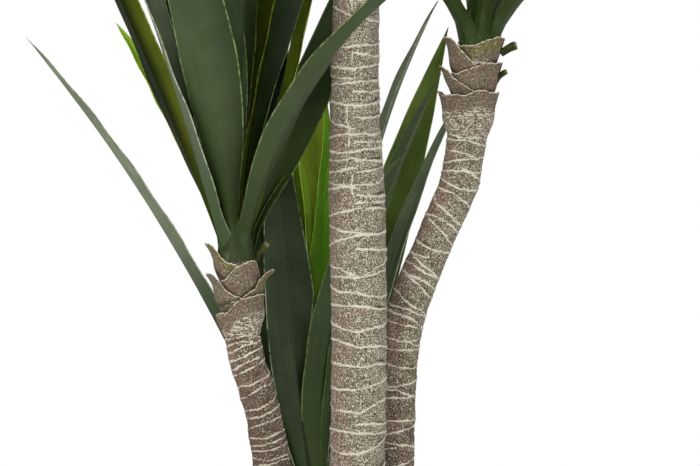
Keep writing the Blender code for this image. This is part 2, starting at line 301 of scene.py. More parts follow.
caneRoutes = {  # height, x and y of the middle, radius
    "left": [
        (footHeight, -0.0420, -0.042, 0.0198),
        (0.380, -0.0520, -0.044, 0.0188),
        (0.530, -0.0680, -0.045, 0.0184),
        (0.604, -0.0770, -0.045, 0.0182),
        (0.660, -0.0868, -0.045, 0.0173),
        (0.715, -0.1030, -0.045, 0.0174),
        (0.760, -0.1090, -0.045, 0.0176),
        (0.804, -0.1122, -0.045, 0.0172),
    ],
    "centre": [
        (footHeight, 0.0040, 0.000, 0.0290),
        (0.520, 0.0060, 0.000, 0.0278),
        (0.720, 0.0090, 0.000, 0.0275),
        (0.870, 0.0070, 0.000, 0.0279),
        (0.945, 0.0050, 0.000, 0.0250),
        (1.044, 0.0058, 0.000, 0.0234),
        (1.240, 0.0120, 0.004, 0.0222),
    ],
    "right": [
        (footHeight, 0.0480, 0.046, 0.0220),
        (0.500, 0.0450, 0.045, 0.0206),
        (0.660, 0.0462, 0.045, 0.0202),
        (0.742, 0.0545, 0.045, 0.0202),
        (0.826, 0.0860, 0.045, 0.0190),
        (0.882, 0.1100, 0.045, 0.0198),
        (0.933, 0.1190, 0.045, 0.0200),
        (1.022, 0.1305, 0.045, 0.0196),
    ],
    "rear": [
        (footHeight, -0.0260, 0.055, 0.0196),
        (0.380, -0.0270, 0.078, 0.0182),
        (0.520, -0.0290, 0.100, 0.0176),
    ],
}

flareSettings = {"share": 0.20, "height": 0.022}

# gap: height, and the least and most room between rings there; dipWay: middle and spread in degrees;
# crust: height and share of pale crust, run low near the foot of the left and right canes to paint their
# shade; crevice shade: its azimuth and the share of rings with a painted shadow in the crevice above them
barkSettings = {
    "left": {
        "seed": 5, "columns": 88, "row": 0.0011,
        "gap": ((0.20, 0.0085, 0.0130), (0.70, 0.0080, 0.0120)), "dip": (0.0, 0.0050),
        "dipWay": (300.0, 60.0), "line": 0.00084, "forks": 0.35, "seam": 305.0, "seamStrength": 0.5,
        "seamRun": (0.690, 0.720),
        "crust": ((0.18, -0.55), (0.62, -0.40), (0.68, -0.15), (0.75, 0.30)), "wobble": 0.0005,
        "relief": 0.0007, "creviceShade": (300.0, 0.15),
    },
    "centre": {
        "seed": 3, "columns": 100, "row": 0.0011,
        "gap": ((0.60, 0.0150, 0.0225), (0.80, 0.0065, 0.0125)), "dip": (0.0, 0.0105),
        "dipWay": (258.0, 18.0), "line": 0.00118, "forks": 0.40, "seam": 258.0,
        "seamStrength": 0.85, "seamRun": (0.860, 1.240),
        "crust": ((0.18, 0.80), (0.70, 0.84), (0.90, 0.88), (1.24, 0.84)), "wobble": 0.0006,
        "relief": 0.0008, "creviceShade": (325.0, 0.45),
    },
    "right": {
        "seed": 9, "columns": 92, "row": 0.0011,
        "gap": ((0.20, 0.0085, 0.0150), (0.95, 0.0080, 0.0150)), "dip": (0.0, 0.0062),
        "dipWay": (200.0, 120.0), "line": 0.00100, "forks": 0.45, "seam": 290.0,
        "seamStrength": 0.3, "seamRun": (0.80, 0.83),
        "crust": ((0.18, 0.02), (0.62, 0.08), (0.80, 0.46), (0.95, 0.60)), "wobble": 0.0005,
        "relief": 0.0007, "creviceShade": (190.0, 0.20),
    },
    "rear": {
        "seed": 14, "columns": 80, "row": 0.0013,
        "gap": ((0.20, 0.0080, 0.0140), (0.50, 0.0080, 0.0140)), "dip": (0.0, 0.0050),
        "dipWay": (250.0, 90.0), "line": 0.00100, "forks": 0.40, "seam": 255.0, "seamStrength": 0.3,
        "seamRun": (0.30, 0.40), "crust": ((0.18, 0.30), (0.30, 0.34), (0.52, 0.50)),
        "wobble": 0.0006, "relief": 0.0007, "creviceShade": (200.0, 0.20),
    },
}

ringRule = {  # how the rings that aren't given one by one are drawn
    "keepOff": 0.006,  # room left to the given ones
    "fullDip": 0.75,  # share that dips in full, and how far the others do
    "smallDip": 0.15,
    "closed": 0.5,  # share that runs all the way round, and how far in radians the others do
    "part": (2.2, 5.0),
    "forkPart": (1.0, 2.6),
    "forkDrift": (0.0025, 0.0065),
    "waves": ((2, 5, 1.0), (7, 13, 0.5), (18, 30, 0.4)),  # least and most round the cane, and size
    "width": (0.85, 1.25),
    "strength": (0.82, 1.0),
    "backShift": 0.004,
    "breaks": (5, 9, 0.22),
    "widthWaves": (3, 7, 0.25),
    "creviceSpan": 0.55,
    "seamWidth": 0.045,
}

# the rings seen best, measured in mm below the height "from", each at five places: left,
# front left, front, front right and right; None where a ring isn't drawn
ringSettings = {
    "centre": {"from": 1.0639, "scale": 0.991, "rings": [
        (4, 10, 17, None, None), (None, None, 18, 19, 21), (50, 47, 46, 44, 40),
        (None, None, 53, 55, 54), (64, 67, 70, None, None), (None, None, 67, 65, 61),
        (74, 77, 79, None, None), (85, 83, 82, 81, 77), (None, None, 92, 91, 87),
        (101, 102, 106, None, None), (None, None, 107, 104, 97), (None, None, 117, 118, 113),
        (119, 124, 128, None, None), (136, 135, 134, None, None), (None, None, 133, 136, 129),
        (None, None, 141, 143, 141), (147, 153, 151, 149, 146), (158, 161, 158, None, None),
        (None, None, 160, 162, 160), (170, 171, 168, None, None), (None, None, 172, 170, 167),
        (181, 184, 186, 184, 174), (189, 187, 188, None, None), (None, None, 195, 197, 196),
        (None, None, 204, 202, 201), (217, 213, 208, 209, 209), (224, 229, 234, 234, 231),
        (246, 241, 236, 234, 231), (None, None, 249, 251, 249), (263, 268, 278, 273, 270),
        (274, 277, 278, 268, 258), (284, 291, 293, None, None), (None, None, 293, 299, 293),
        (305, 305, 307, 309, 309), (320, 328, 332, 327, 323), (338, 342, 347, 347, 347),
        (362, 365, 367, 365, 363), (389, 390, 389, 384, 377), (405, 412, 413, 403, 397),
        (430, 431, 433, 434, 432), (None, None, 425, 424, 423), (447, 453, 455, 446, 436),
        (470, 474, 475, 470, 462), (489, 494, 497, 496, 493),
    ]},
    "right": {"from": 1.0679, "scale": 1.008, "rings": [
        (104, 108, 113, 116, 118), (109, 113, 118, 120, 121), (120, 123, 126, 124, 122),
        (127, 131, 131, 133, 130), (134, 137, 138, 136, 137), (141, 142, 140, 143, 144),
        (150, 152, 154, 157, None), (166, 164, 160, 156, 152), (176, 174, 171, 170, 166),
        (None, None, 169, 173, 179), (182, 186, 188, 186, 183), (193, 194, 195, 198, 203),
        (200, 209, 213, 217, 219), (222, 221, 221, 223, 227), (None, 224, 230, 236, 239),
        (246, 248, 249, 247, 246), (258, 259, 258, None, None), (267, 269, 271, 272, 272),
        (None, 262, 266, 270, 273), (277, 278, 279, 281, 283), (None, 279, 284, 290, 295),
        (294, 298, 304, 308, 310), (309, 310, 310, 311, 312), (316, 316, 316, 321, 326),
        (325, 325, 325, 325, 326), (334, 340, 342, 338, 333), (None, None, 341, 343, 343),
        (351, 351, 350, 348, 346), (358, 364, 367, 368, 367), (389, 388, 386, 383, 378),
        (389, 389, 391, 395, 397), (402, 400, 398, 397, 396), (418, 420, 421, 421, 420),
        (439, 436, 433, 429, 423), (441, 443, 444, 446, 450), (449, 450, 449, None, None),
        (None, None, 466, 463, 457), (473, 473, 471, 470, 470),
    ]},
    "left": {"from": 1.0611, "scale": 0.979, "rings": [
        (316, 318, 316, 319, 318), (322, 321, 323, 321, 324), (328, 326, 325, 327, 329),
        (333, 332, 330, 332, 334), (338, 338, 336, 338, 340), (345, 343, 342, 344, 343),
        (352, 350, 346, 346, None), (360, 358, 356, 353, 349), (367, 365, 363, 360, None),
        (371, 371, 370, 367, 363), (384, 383, 384, 382, 377), (396, 394, 391, 389, 386),
        (409, 408, 408, 405, 398), (416, 416, 416, 413, 409), (428, 426, 424, 421, 419),
        (434, 437, 438, 435, 433), (443, 444, 444, 442, 439), (449, 450, 451, 448, 445),
        (455, 458, 460, 459, 456), (463, 465, 464, 462, 461),
    ]},
}

swellSettings = {  # waves, finest and coarsest in metres, then their size
    "lumps": (12, 0.018, 0.07, 0.00030),
    "small": (24, 0.004, 0.012, 0.00012),
    "crust": (16, 0.010, 0.045, 0.12),
    "crustOnSide": 0.16,  # how much less crust there is towards the left
    "creviceDepth": 0.0005,
    "girth": 0.12,
    "footEase": 0.02,  # height over which the axis turns upright, so that the foot is a level cut
}

barkLook = {
    "colours": {
        "line": shown(220, 215, 198),
        "lineShade": shown(190, 182, 162),
        "brown": shown(116, 94, 78),
        "brownDark": shown(88, 72, 58),
        "olive": shown(136, 127, 104),
        "oliveDark": shown(110, 101, 78),
        "mauve": shown(138, 113, 98),
        "speck": shown(208, 202, 184),
        # dark pits, and the painted shadow in the crevices above some rings
        "pitAndShade": shown(58, 52, 38),
        # the painted shade near the foot of the left and right canes
        "shade": shown(78, 62, 50),
    },
    "roughness": 0.9,
    "gloss": 0.2,
    "grain": 700.0,  # the noises, from fine to coarse
    "grit": 820.0,
    "wear": 95.0,
    "patch": 70.0,
    "tint": 34.0,
    "olive": (0.40, 1.10),  # each from where it starts to where it is full
    "mauve": (0.52, 0.72),
    "specks": (0.552, 0.624),
    "pits": (0.40, 0.49),
    "line": (0.32, 0.54),
    "creviceShade": (0.55, 0.80),
    # painted shade on the low bark: full at the first crust value, gone at the second
    "paintedShade": (-0.55, 0.15),
    "relief": 0.0007,
}


def caneAt(name, height):
    # middle and radius of a cane at a height, on a smooth curve through its own rows
    rows = caneRoutes[name]
    k = next((i for i in range(len(rows) - 2) if height < rows[i + 1][0]), len(rows) - 2)

    def slopes(i):
        low, high = rows[max(i - 1, 0)], rows[min(i + 1, len(rows) - 1)]
        return [(b - a) / (high[0] - low[0]) for a, b in zip(low[1:], high[1:])]

    span = rows[k + 1][0] - rows[k][0]
    t = (height - rows[k][0]) / span
    starts = (2 * t**3 - 3 * t**2 + 1, (t**3 - 2 * t**2 + t) * span)
    ends = (3 * t**2 - 2 * t**3, (t**3 - t**2) * span)
    x, y, radius = (
        a * starts[0] + da * starts[1] + b * ends[0] + db * ends[1]
        for a, da, b, db in zip(rows[k][1:], slopes(k), rows[k + 1][1:], slopes(k + 1))
    )
    radius *= 1 + flareSettings["share"] * math.exp((footHeight - height) / flareSettings["height"])
    return Vector((x, y, height)), radius


class Neck:
    # a place on a cane some way along from its top, with the directions round it
    def __init__(self, cane, along=0.0):
        self.top = caneRoutes[cane][-1][0]
        height = self.top + along
        self.middle, self.radius = caneAt(cane, min(height, self.top))
        above = caneAt(cane, min(height + 0.01, self.top))[0]
        self.axis = (above - caneAt(cane, min(height, self.top) - 0.01)[0]).normalized()
        if height > self.top:
            self.middle = self.middle + self.axis * (height - self.top)
        self.across = (Vector((1, 0, 0)) - self.axis * self.axis.x).normalized()
        self.back = self.axis.cross(self.across)

    def out(self, azimuth):
        angle = math.radians(azimuth)
        return self.across * math.cos(angle) + self.back * math.sin(angle)


def softNoise(angles, heights, dice, waves, finest, coarsest):
    # a sum of waves that closes round the cane; finest and coarsest are wavelengths in metres
    total = np.zeros(np.broadcast(angles, heights).shape)
    for _ in range(waves):
        turns = dice.randint(0, max(1, round(swellSettings["girth"] / finest)))
        length = math.exp(dice.uniform(math.log(finest), math.log(coarsest)))
        phase = dice.uniform(0, 2 * math.pi)
        turns = round(turns * finest / length)
        sign = dice.choice((-1, 1))
        total += np.sin(turns * angles + sign * 2 * math.pi * heights / length + phase)
    return total / math.sqrt(waves / 2)


def scarLines(name, low, high, dice):
    # the rings seen best, and above, below and between them others that tilt and dip or fork
    settings, rule = barkSettings[name], ringRule
    lines = []
    given = ringSettings.get(name)
    taken = (high, high)
    if given:
        for marks in given["rings"]:
            heights = [None if m is None else given["from"] - given["scale"] * m / 1000 for m in marks]
            lines.append({"front": heights})
        drawn = [h for line in lines for h in line["front"] if h is not None]
        taken = (min(drawn), max(drawn))
    level = low
    while level < high:
        if not taken[0] - rule["keepOff"] < level < taken[1] + rule["keepOff"]:
            line = {"level": level, "drift": 0.0, "from": dice.uniform(0, 2 * math.pi)}
            line["dip"] = dice.uniform(*settings["dip"])
            line["dip"] *= 1.0 if dice.random() < rule["fullDip"] else rule["smallDip"]
            line["way"] = math.radians(dice.gauss(*settings["dipWay"]))
            line["reach"] = 2 * math.pi if dice.random() < rule["closed"] else dice.uniform(*rule["part"])
            lines.append(line)
            if dice.random() < settings["forks"]:
                fork = dict(line)
                fork["from"] = dice.uniform(0, 2 * math.pi)
                fork["reach"] = dice.uniform(*rule["forkPart"])
                fork["drift"] = dice.choice((-1, 1)) * dice.uniform(*rule["forkDrift"])
                lines.append(fork)
        heights, *rooms = zip(*settings["gap"])
        level += dice.uniform(*[np.interp(level, heights, room) for room in rooms])
    for line in lines:
        line["waves"] = [
            (dice.randint(least, most), anyPhase(dice), size) for least, most, size in rule["waves"]
        ]
        line["wide"] = settings["line"] * dice.uniform(*rule["width"])
        line["strength"] = dice.uniform(*rule["strength"])
    return lines


def frontCurve(angles, front, dice):
    # a closed curve through five heights from the left round the front to the right, and where it is drawn
    turns = np.radians([180, 225, 270, 315, 360])
    known = [(turn, height) for turn, height in zip(turns, front) if height is not None]
    first, last = known[0], known[-1]
    back = (first[1] + last[1]) / 2 + dice.uniform(-ringRule["backShift"], ringRule["backShift"])
    places = [math.pi / 2, *[turn for turn, _ in known], 5 * math.pi / 2]
    values = [back, *[height for _, height in known], back]
    seen = np.where(angles < math.pi / 2, angles + 2 * math.pi, angles)
    run = easedRound(np.interp(seen, places, values), max(3, len(angles) // 16) | 1)
    drawn = np.ones(len(angles))
    if front[0] is None:
        drawn = drawn * np.clip((seen - first[0]) / 0.15 + 1, 0, 1)
    if front[-1] is None:
        drawn = drawn * np.clip((last[0] - seen) / 0.15 + 1, 0, 1) * (seen >= math.pi * 0.6)
    return run, drawn


def scarField(angles, heights, lines, settings, dice):
    # how strongly each point of the bark lies on a ring, and in the crevice above one, where a shadow is
    # painted
    h = heights[:, None]
    scars = np.zeros((len(heights), len(angles)))
    creviceShade = np.zeros_like(scars)
    turn, share = settings["creviceShade"]
    window = np.exp(-(((angles - math.radians(turn)) / ringRule["creviceSpan"]) ** 2))
    for line in lines:
        if "front" in line:
            run, drawn = frontCurve(angles, line["front"], dice)
        else:
            run = line["level"] - line["dip"] * np.cos(angles - line["way"])
            t = ((angles - line["from"]) % (2 * math.pi)) / line["reach"]
            run = run + line["drift"] * np.clip(t, 0, 1)
            drawn = np.clip(t * 12 + 1, 0, 1) * np.clip((1 - t) * 12, 0, 1) if line["reach"] < 6.2 else 1.0
        for count, phase, size in line["waves"]:
            run = run + settings["wobble"] * size * np.sin(count * angles + phase)
        least, most, fade = ringRule["breaks"]
        breaks = 0.5 + 0.5 * np.sin(dice.randint(least, most) * angles + anyPhase(dice))
        strength = line["strength"] * drawn * (1 - fade * breaks**3)
        least, most, swell = ringRule["widthWaves"]
        wide = line["wide"] * (1 + swell * np.sin(dice.randint(least, most) * angles + anyPhase(dice)))
        near = slice(*np.searchsorted(heights, (run.min() - 0.006, run.max() + 0.008)))
        away = h[near] - run
        scars[near] = np.maximum(scars[near], strength * np.exp(-((away / wide) ** 2)))
        if dice.random() < share:
            shade = np.exp(-(((away - 2.0 * wide) / (0.9 * wide)) ** 2))
            creviceShade[near] = np.maximum(creviceShade[near], strength * window * shade)

    # the upright seam, drawn in short pieces
    seam = math.radians(settings["seam"]) + 0.08 * np.sin(heights * 38.0) + 0.05 * np.sin(heights * 170.0)
    off = (angles[None, :] - seam[:, None] + math.pi) % (2 * math.pi) - math.pi
    pieces = np.clip(1.6 * np.sin(heights * 95.0) + 1.3 * np.sin(heights * 41.0 + 1.0) + 0.6, 0, 1)
    pieces = pieces * (heights > settings["seamRun"][0]) * (heights < settings["seamRun"][1])
    seamLine = settings["seamStrength"] * pieces[:, None]
    scars = np.maximum(scars, seamLine * np.exp(-((off / ringRule["seamWidth"]) ** 2)))
    return scars, creviceShade * (1 - scars)


def barkMaterial():
    b, colours = barkLook, barkLook["colours"]
    look = Finish("barkRinged", b["roughness"], b["gloss"])
    crust, scar = look.drawn("crust"), look.drawn("scar")
    grain = look.noise(b["grain"], 1.5, 0.6)
    grit = look.noise(b["grit"], 1.0, 0.5)
    patch = look.noise(b["patch"], 3.0, 0.6, (1, 1, 1.5))
    tint = look.noise(b["tint"], 3.0, 0.6)

    # the ground: brown under a thin crust, olive under a thick one, mauve in patches, and a painted shade
    # where the crust runs low, near the foot of the left and right canes
    brown = look.blend(look.fit(patch, *softEdge), colours["brownDark"], colours["brown"])
    olive = look.blend(look.fit(patch, *softEdge), colours["oliveDark"], colours["olive"])
    share = look.fit(look.plus(crust, look.times(tint, 0.7)), *b["olive"])
    colour = look.blend(share, brown, olive)
    mauve = look.fit(look.plus(look.times(look.drawn("side"), 0.30), tint), *b["mauve"], 0.0, 0.85)
    colour = look.blend(mauve, colour, colours["mauve"])
    colour = look.blend(look.fit(crust, *b["paintedShade"], 0.70, 0.0), colour, colours["shade"])

    # pale specks, fewer and fainter where the crust runs low to paint shade, and dark pits
    dense = look.plus(grain, look.times(look.join("MAXIMUM", crust, 0.0), 0.062))
    dense = look.minus(dense, look.times(mauve, 0.03))
    specks = look.fit(dense, *b["specks"], 0.0, 0.95)
    specks = look.times(specks, look.fit(crust, -0.5, 0.5, 0.40, 1.0))
    colour = look.blend(specks, colour, colours["speck"])
    pits = look.fit(look.plus(grit, look.times(scar, 0.1)), *b["pits"], 0.85, 0.0)
    colour = look.blend(pits, colour, colours["pitAndShade"])

    # the rings, ragged and worn and dulled where the crust runs low to paint shade, and a painted shadow
    # in the crevices above some of them
    worn = look.fit(look.noise(b["wear"], 2.0, 0.6), 0.34, 0.62, 0.84, 1.10)
    ragged = look.plus(look.times(scar, worn), look.times(look.minus(grain, 0.5), 1.1))
    cream = look.blend(look.fit(grit, 0.36, 0.6), colours["lineShade"], colours["line"])
    cream = look.blend(look.fit(crust, -0.55, 0.25, 0.46, 0.0), cream, colours["mauve"])
    colour = look.blend(look.fit(ragged, *b["line"]), colour, cream)
    creviceShade = look.fit(look.plus(look.drawn("creviceShade"), look.times(grit, 0.4)), *b["creviceShade"], 0.0, 0.9)
    colour = look.blend(creviceShade, colour, colours["pitAndShade"])
    relief = look.plus(grain, look.times(specks, 0.25))
    return look.done(colour, look.bump(relief, b["relief"], 0.6))


def makeCaneBark(name, material):
    settings, s = barkSettings[name], swellSettings
    dice = random.Random(settings["seed"])
    low, high = caneRoutes[name][0][0], caneRoutes[name][-1][0]
    rows = round((high - low) / settings["row"]) + 1
    heights = np.linspace(low, high, rows)
    columns = settings["columns"]
    angles = np.linspace(0, 2 * math.pi, columns, endpoint=False)
    lines = scarLines(name, low + 0.004, high - 0.002, dice)
    scars, creviceShade = scarField(angles, heights, lines, settings, dice)
    lumps, small, patches = (
        softNoise(angles[None, :], heights[:, None], dice, *s[kind][:3])
        for kind in ("lumps", "small", "crust")
    )
    crust = np.interp(heights, *zip(*settings["crust"]))[:, None]
    crust = crust + s["crust"][3] * patches
    side = np.repeat(np.cos(angles - math.pi)[None, :], rows, axis=0)
    crust = crust - s["crustOnSide"] * side
    relief = settings["relief"] * scars + s["lumps"][3] * lumps + s["small"][3] * small
    relief = relief - s["creviceDepth"] * creviceShade
    points = np.empty((rows, columns, 3))
    step = 0.004
    for i, height in enumerate(heights):
        middle, radius = caneAt(name, height)
        below, above = caneAt(name, max(height - step, low))[0], caneAt(name, min(height + step, high))[0]
        axis = (above - below).normalized()
        axis = axis.lerp(Vector((0, 0, 1)), max(0.0, 1 - (height - low) / s["footEase"])).normalized()
        across = (Vector((1, 0, 0)) - axis * axis.x).normalized()
        back = axis.cross(across)
        reach = radius + relief[i]
        ring = np.cos(angles)[:, None] * np.array(across) + np.sin(angles)[:, None] * np.array(back)
        points[i] = np.array(middle) + ring * reach[:, None]
    drawn = {"scar": scars, "crust": crust, "creviceShade": creviceShade, "side": side}
    faces = tubeFaces(rows, columns)
    piece = meshPiece(name + "CaneBark", points.reshape(-1, 3), faces, [material], drawn=drawn, sharp=80.0)
    keep(piece, "bark", name + "_cane")
    print("bark", name, len(piece.data.polygons), "faces")


# Cut leaf bases: sheaths round each neck, each one outside the one above it

# each sheath: its foot and its rim in mm above the neck's top, the rim at azimuths with its distance
# from the neck's middle; grow is how far the sheath stands off the neck at the left and at the right
collarSettings = {
    "left": [
        {"foot": -26, "grow": (4.2, 2.0), "green": 0.95, "rim": [
            (30, -9, 20), (90, -10, 19.5), (130, -5, 20), (150, 3, 22), (165, 15, 26.5),
            (178, 20.5, 30), (200, 21.5, 30), (213, 19, 26.8), (225, 9, 22.8), (238, 3.5, 21),
            (252, 0, 20.4), (268, -2, 20), (285, -5, 20), (320, -9, 20),
        ]},
        {"foot": -44, "grow": (3.4, 5.0), "green": 0.0, "rim": [
            (20, -30, 22), (90, -18, 21), (150, -22, 21), (200, -20, 21), (223, -17, 21.6),
            (238, -15.5, 21.8), (250, -12, 21.6), (262, -7.5, 21.6), (275, -4, 21.8), (290, -1, 22),
            (305, 0.2, 22.2), (320, 0.8, 22.6), (331, 0, 23), (340, -7, 23), (348, -17, 23.2),
            (0, -27, 23),
        ]},
        {"foot": -56, "grow": (5.2, 4.6), "green": 0.12, "rim": [
            (30, -38, 21.5), (90, -34, 21.5), (130, -30, 22), (150, -24, 23), (165, -13, 27),
            (178, -9.5, 30.5), (200, -8.5, 30.5), (212, -10.5, 28), (224, -16, 25),
            (236, -23, 23.6), (250, -29, 22.8), (264, -32.5, 22.4), (280, -35, 22.4),
            (310, -38, 22),
        ]},
        {"foot": -56, "grow": (4.6, 5.2), "green": 0.85, "rim": [
            (10, -14, 34), (20, -24, 26), (40, -32, 23), (80, -38, 22.5), (150, -40, 22),
            (220, -40, 22.4), (262, -38, 22.6), (280, -35.5, 22.9), (300, -30, 23.2),
            (318, -26, 24), (330, -20, 25.5), (340, -13, 29.5), (348, -8.5, 36), (0, -9, 38),
        ]},
        {"foot": -78, "grow": (5.2, 6.2), "green": 0.0, "fringe": 15.0, "rim": [
            (20, -34, 26), (60, -38, 24.5), (110, -44, 24), (160, -50, 24), (204, -49, 24),
            (222, -47.5, 23.8), (238, -47.5, 23.8), (251, -44, 23.8), (264, -39, 23.9),
            (280, -36, 24.2), (303, -33.6, 24.8), (350, -32.7, 26),
        ]},
    ],
    "right": [
        {"foot": -24, "grow": (2.4, 3.2), "green": 1.0, "rim": [
            (20, 8, 24.5), (60, 0, 21.8), (110, -3, 21.5), (150, -2, 21.5), (188, -1.4, 21.8),
            (241, -1.4, 21.8), (266, 1.6, 21.9), (293, 7.5, 22.2), (319, 11.5, 23), (350, 12, 26),
        ]},
        {"foot": -42, "grow": (7.6, 2.6), "green": 0.12, "rim": [
            (20, -26, 22.5), (80, -26, 22.5), (120, -21, 23), (145, -14, 25.5), (165, -1, 32),
            (177, 4.5, 37.5), (195, 5, 37), (212, 3.6, 32), (222, -3.4, 28.4), (236, -9.3, 25.4),
            (246, -13.2, 24.2), (262, -19, 23.2), (285, -24, 22.8), (320, -28, 22.5),
        ]},
        {"foot": -58, "grow": (6.8, 3.6), "green": 0.0, "rim": [
            (20, -16, 25), (60, -24, 23.5), (110, -30, 23.5), (150, -31, 25.5), (192, -30.5, 27),
            (220, -30, 25.4), (252, -25, 24), (267, -21, 23.8), (288, -17, 24), (317, -14.7, 24.6),
            (350, -13, 27),
        ]},
        {"foot": -60, "grow": (7.4, 3.0), "green": 0.0, "rim": [
            (80, -48, 23.5), (120, -44, 24), (150, -36, 28), (168, -25, 35), (178, -23.5, 38),
            (190, -24.5, 37), (200, -27.5, 31), (217, -34, 27.2), (232, -38, 25.6),
            (247, -42, 24.8), (275, -46, 24.2), (330, -48, 23.5),
        ]},
        {"foot": -98, "grow": (7.4, 4.4), "green": 0.0, "fringe": 15.0, "rim": [
            (20, -45, 25.5), (70, -50, 24.5), (120, -52, 25), (150, -52, 28), (172, -49, 36),
            (184, -51, 36.5), (196, -52, 32), (215, -52, 27), (253, -51, 24.8), (265, -47, 24.6),
            (289, -44, 24.8), (325, -44, 25.4), (350, -44, 26.8),
        ]},
    ],
}

sheathSettings = {
    "turn": {"left": 0.0, "right": 0.0, "centre": 48.0, "rear": 201.0},
    "tiers": {1: (4,), 2: (2, 3), 3: (0, 1)},  # which sheaths stand in for each of the source's tiers
    "seed": 700,
    "wall": 0.0011,
    "rows": 24,
    "columns": 84,
    "rimBand": 0.0010,  # height of the pale line along a rim
    "rimEase": 13,  # half degrees over which a rim's corners are eased
    "rimWaves": ((5, 9, 0.0005), (14, 24, 0.0003), (30, 40, 0.0003)),  # least and most round it, and size
    "footSink": 0.0012,
    "footEase": 0.026,
    "flareFall": 0.0100,  # how soon a tongue comes back to the neck, below its rim
    "ripple": 0.0003,
    "gapOverlap": 0.0015,
    "gapShade": 0.0042,  # how far the shade reaches above the rim that lies in front
    "greenReach": 0.022,
    "fringeFade": 0.004,
}

huskLook = {
    "colours": {
        "dark": shown(70, 60, 46),
        "taupe": shown(108, 97, 80),
        "mauve": shown(114, 92, 76),
        "pale": shown(170, 162, 141),
        "olive": shown(110, 102, 54),
        "green": shown(82, 86, 34),
        "rim": shown(206, 198, 172),
        "fibre": shown(208, 200, 180),
    },
    "roughness": 0.85,
    "rimRoughness": 0.8,
    "gloss": 0.2,
    "grain": 680.0,  # the noises, from fine to coarse
    "grit": 800.0,
    "rimGrain": 420.0,
    "thread": 210.0,
    "patch": 80.0,
    "tint": 50.0,
    "relief": 0.0008,
    "rimRelief": 0.0004,
}

stubSettings = {
    # thick cut ends: cane, azimuth, height from the top, length, width, thickness, lean at foot and end
    "ends": [
        ("right", 352, -0.006, 0.019, 0.0120, 0.0095, 40, 66),
        ("right", 352, -0.036, 0.017, 0.0100, 0.0060, 8, 60),
        ("left", 352, -0.002, 0.021, 0.0090, 0.0068, 24, 50),
        ("centre", 40, -0.006, 0.019, 0.0120, 0.0095, 40, 66),
        ("rear", 193, -0.006, 0.019, 0.0110, 0.0085, 40, 66),
        ("rear", 350, -0.024, 0.017, 0.0090, 0.0060, 20, 60),
    ],
    "sides": 14,
    "rings": 11,
    "start": 0.0020,
    "taper": (0.75, 0.25),  # share of the width at the foot, and what is added towards the end
    "endRing": 0.80,
    "cutShare": 0.15,  # the last part of the length, which shows the cut
    "roughness": 0.8,
    "gloss": 0.1,
    "dark": shown(34, 38, 18),
    "green": shown(62, 68, 32),
    "grain": shown(116, 114, 80),
    "cut": shown(132, 130, 98),
}


def huskMaterial():
    h, colours = huskLook, huskLook["colours"]
    look = Finish("huskFibre", h["roughness"], h["gloss"])
    grain = look.noise(h["grain"], 1.5, 0.6)
    grit = look.noise(h["grit"], 1.0, 0.5)
    patch = look.noise(h["patch"], 3.0, 0.6)
    tint = look.noise(h["tint"], 2.0, 0.5)
    thread = look.noise(h["thread"], 2.0, 0.6, (1.0, 1.0, 3.4), distortion=0.9)
    green = look.drawn("green")
    colour = look.blend(look.fit(patch, 0.38, 0.62), colours["taupe"], colours["mauve"])
    olive = look.fit(look.plus(green, look.times(tint, 0.6)), 0.40, 1.10)
    colour = look.blend(olive, colour, colours["olive"])
    deep = look.fit(look.plus(green, look.times(patch, 0.6)), 0.95, 1.35, 0.0, 0.8)
    colour = look.blend(deep, colour, colours["green"])
    colour = look.blend(look.fit(grain, 0.52, 0.62, 0.0, 0.75), colour, colours["pale"])
    colour = look.blend(look.fit(grit, 0.40, 0.49, 0.75, 0.0), colour, colours["dark"])

    # loose threads low on the outermost sheath, and shade where one sheath goes behind another
    threads = look.fit(look.plus(thread, look.times(grit, 0.2)), 0.575, 0.645, 0.0, 0.9)
    threads = look.times(threads, look.drawn("fringe"))
    colour = look.blend(threads, colour, colours["fibre"])
    shade = look.fit(look.drawn("shade"), 0.1, 0.9, 0.0, 0.85)
    colour = look.blend(shade, colour, colours["dark"])
    relief = look.plus(look.times(grain, 0.6), threads)
    return look.done(colour, look.bump(relief, h["relief"], 0.7))


def rimMaterial():
    look = Finish("huskRim", huskLook["rimRoughness"])
    grain = look.noise(huskLook["rimGrain"], 2.0, 0.6)
    colours = huskLook["colours"]
    colour = look.blend(look.fit(grain, 0.34, 0.54), colours["taupe"], colours["rim"])
    return look.done(colour, look.bump(grain, huskLook["rimRelief"], 0.6))


def stubMaterial():
    s = stubSettings
    look = Finish("cutStub", s["roughness"], s["gloss"])
    grain = look.noise(480.0, 2.0, 0.6)
    patch = look.noise(140.0, 2.0, 0.5)
    colour = look.blend(look.fit(patch, 0.38, 0.62), s["dark"], s["green"])
    colour = look.blend(look.fit(grain, 0.60, 0.72, 0.0, 0.5), colour, s["grain"])
    colour = look.blend(look.fit(look.drawn("cut"), 0.0, 1.0, 0.0, 0.7), colour, s["cut"])
    return look.done(colour, look.bump(grain, 0.0006, 0.7))


def rimReader(sheath):
    # height and reach of a sheath's rim at any azimuth, with its corners eased
    rows = sorted(sheath["rim"])
    places = [row[0] for row in rows]
    fine = np.linspace(0, 360, 720, endpoint=False)
    read = []
    for k in (1, 2):
        values = np.interp(fine, places, [row[k] / 1000 for row in rows], period=360)
        read.append(easedRound(values, sheathSettings["rimEase"]))
    return lambda azimuth: [float(np.interp(azimuth % 360, fine, values, period=360)) for values in read]


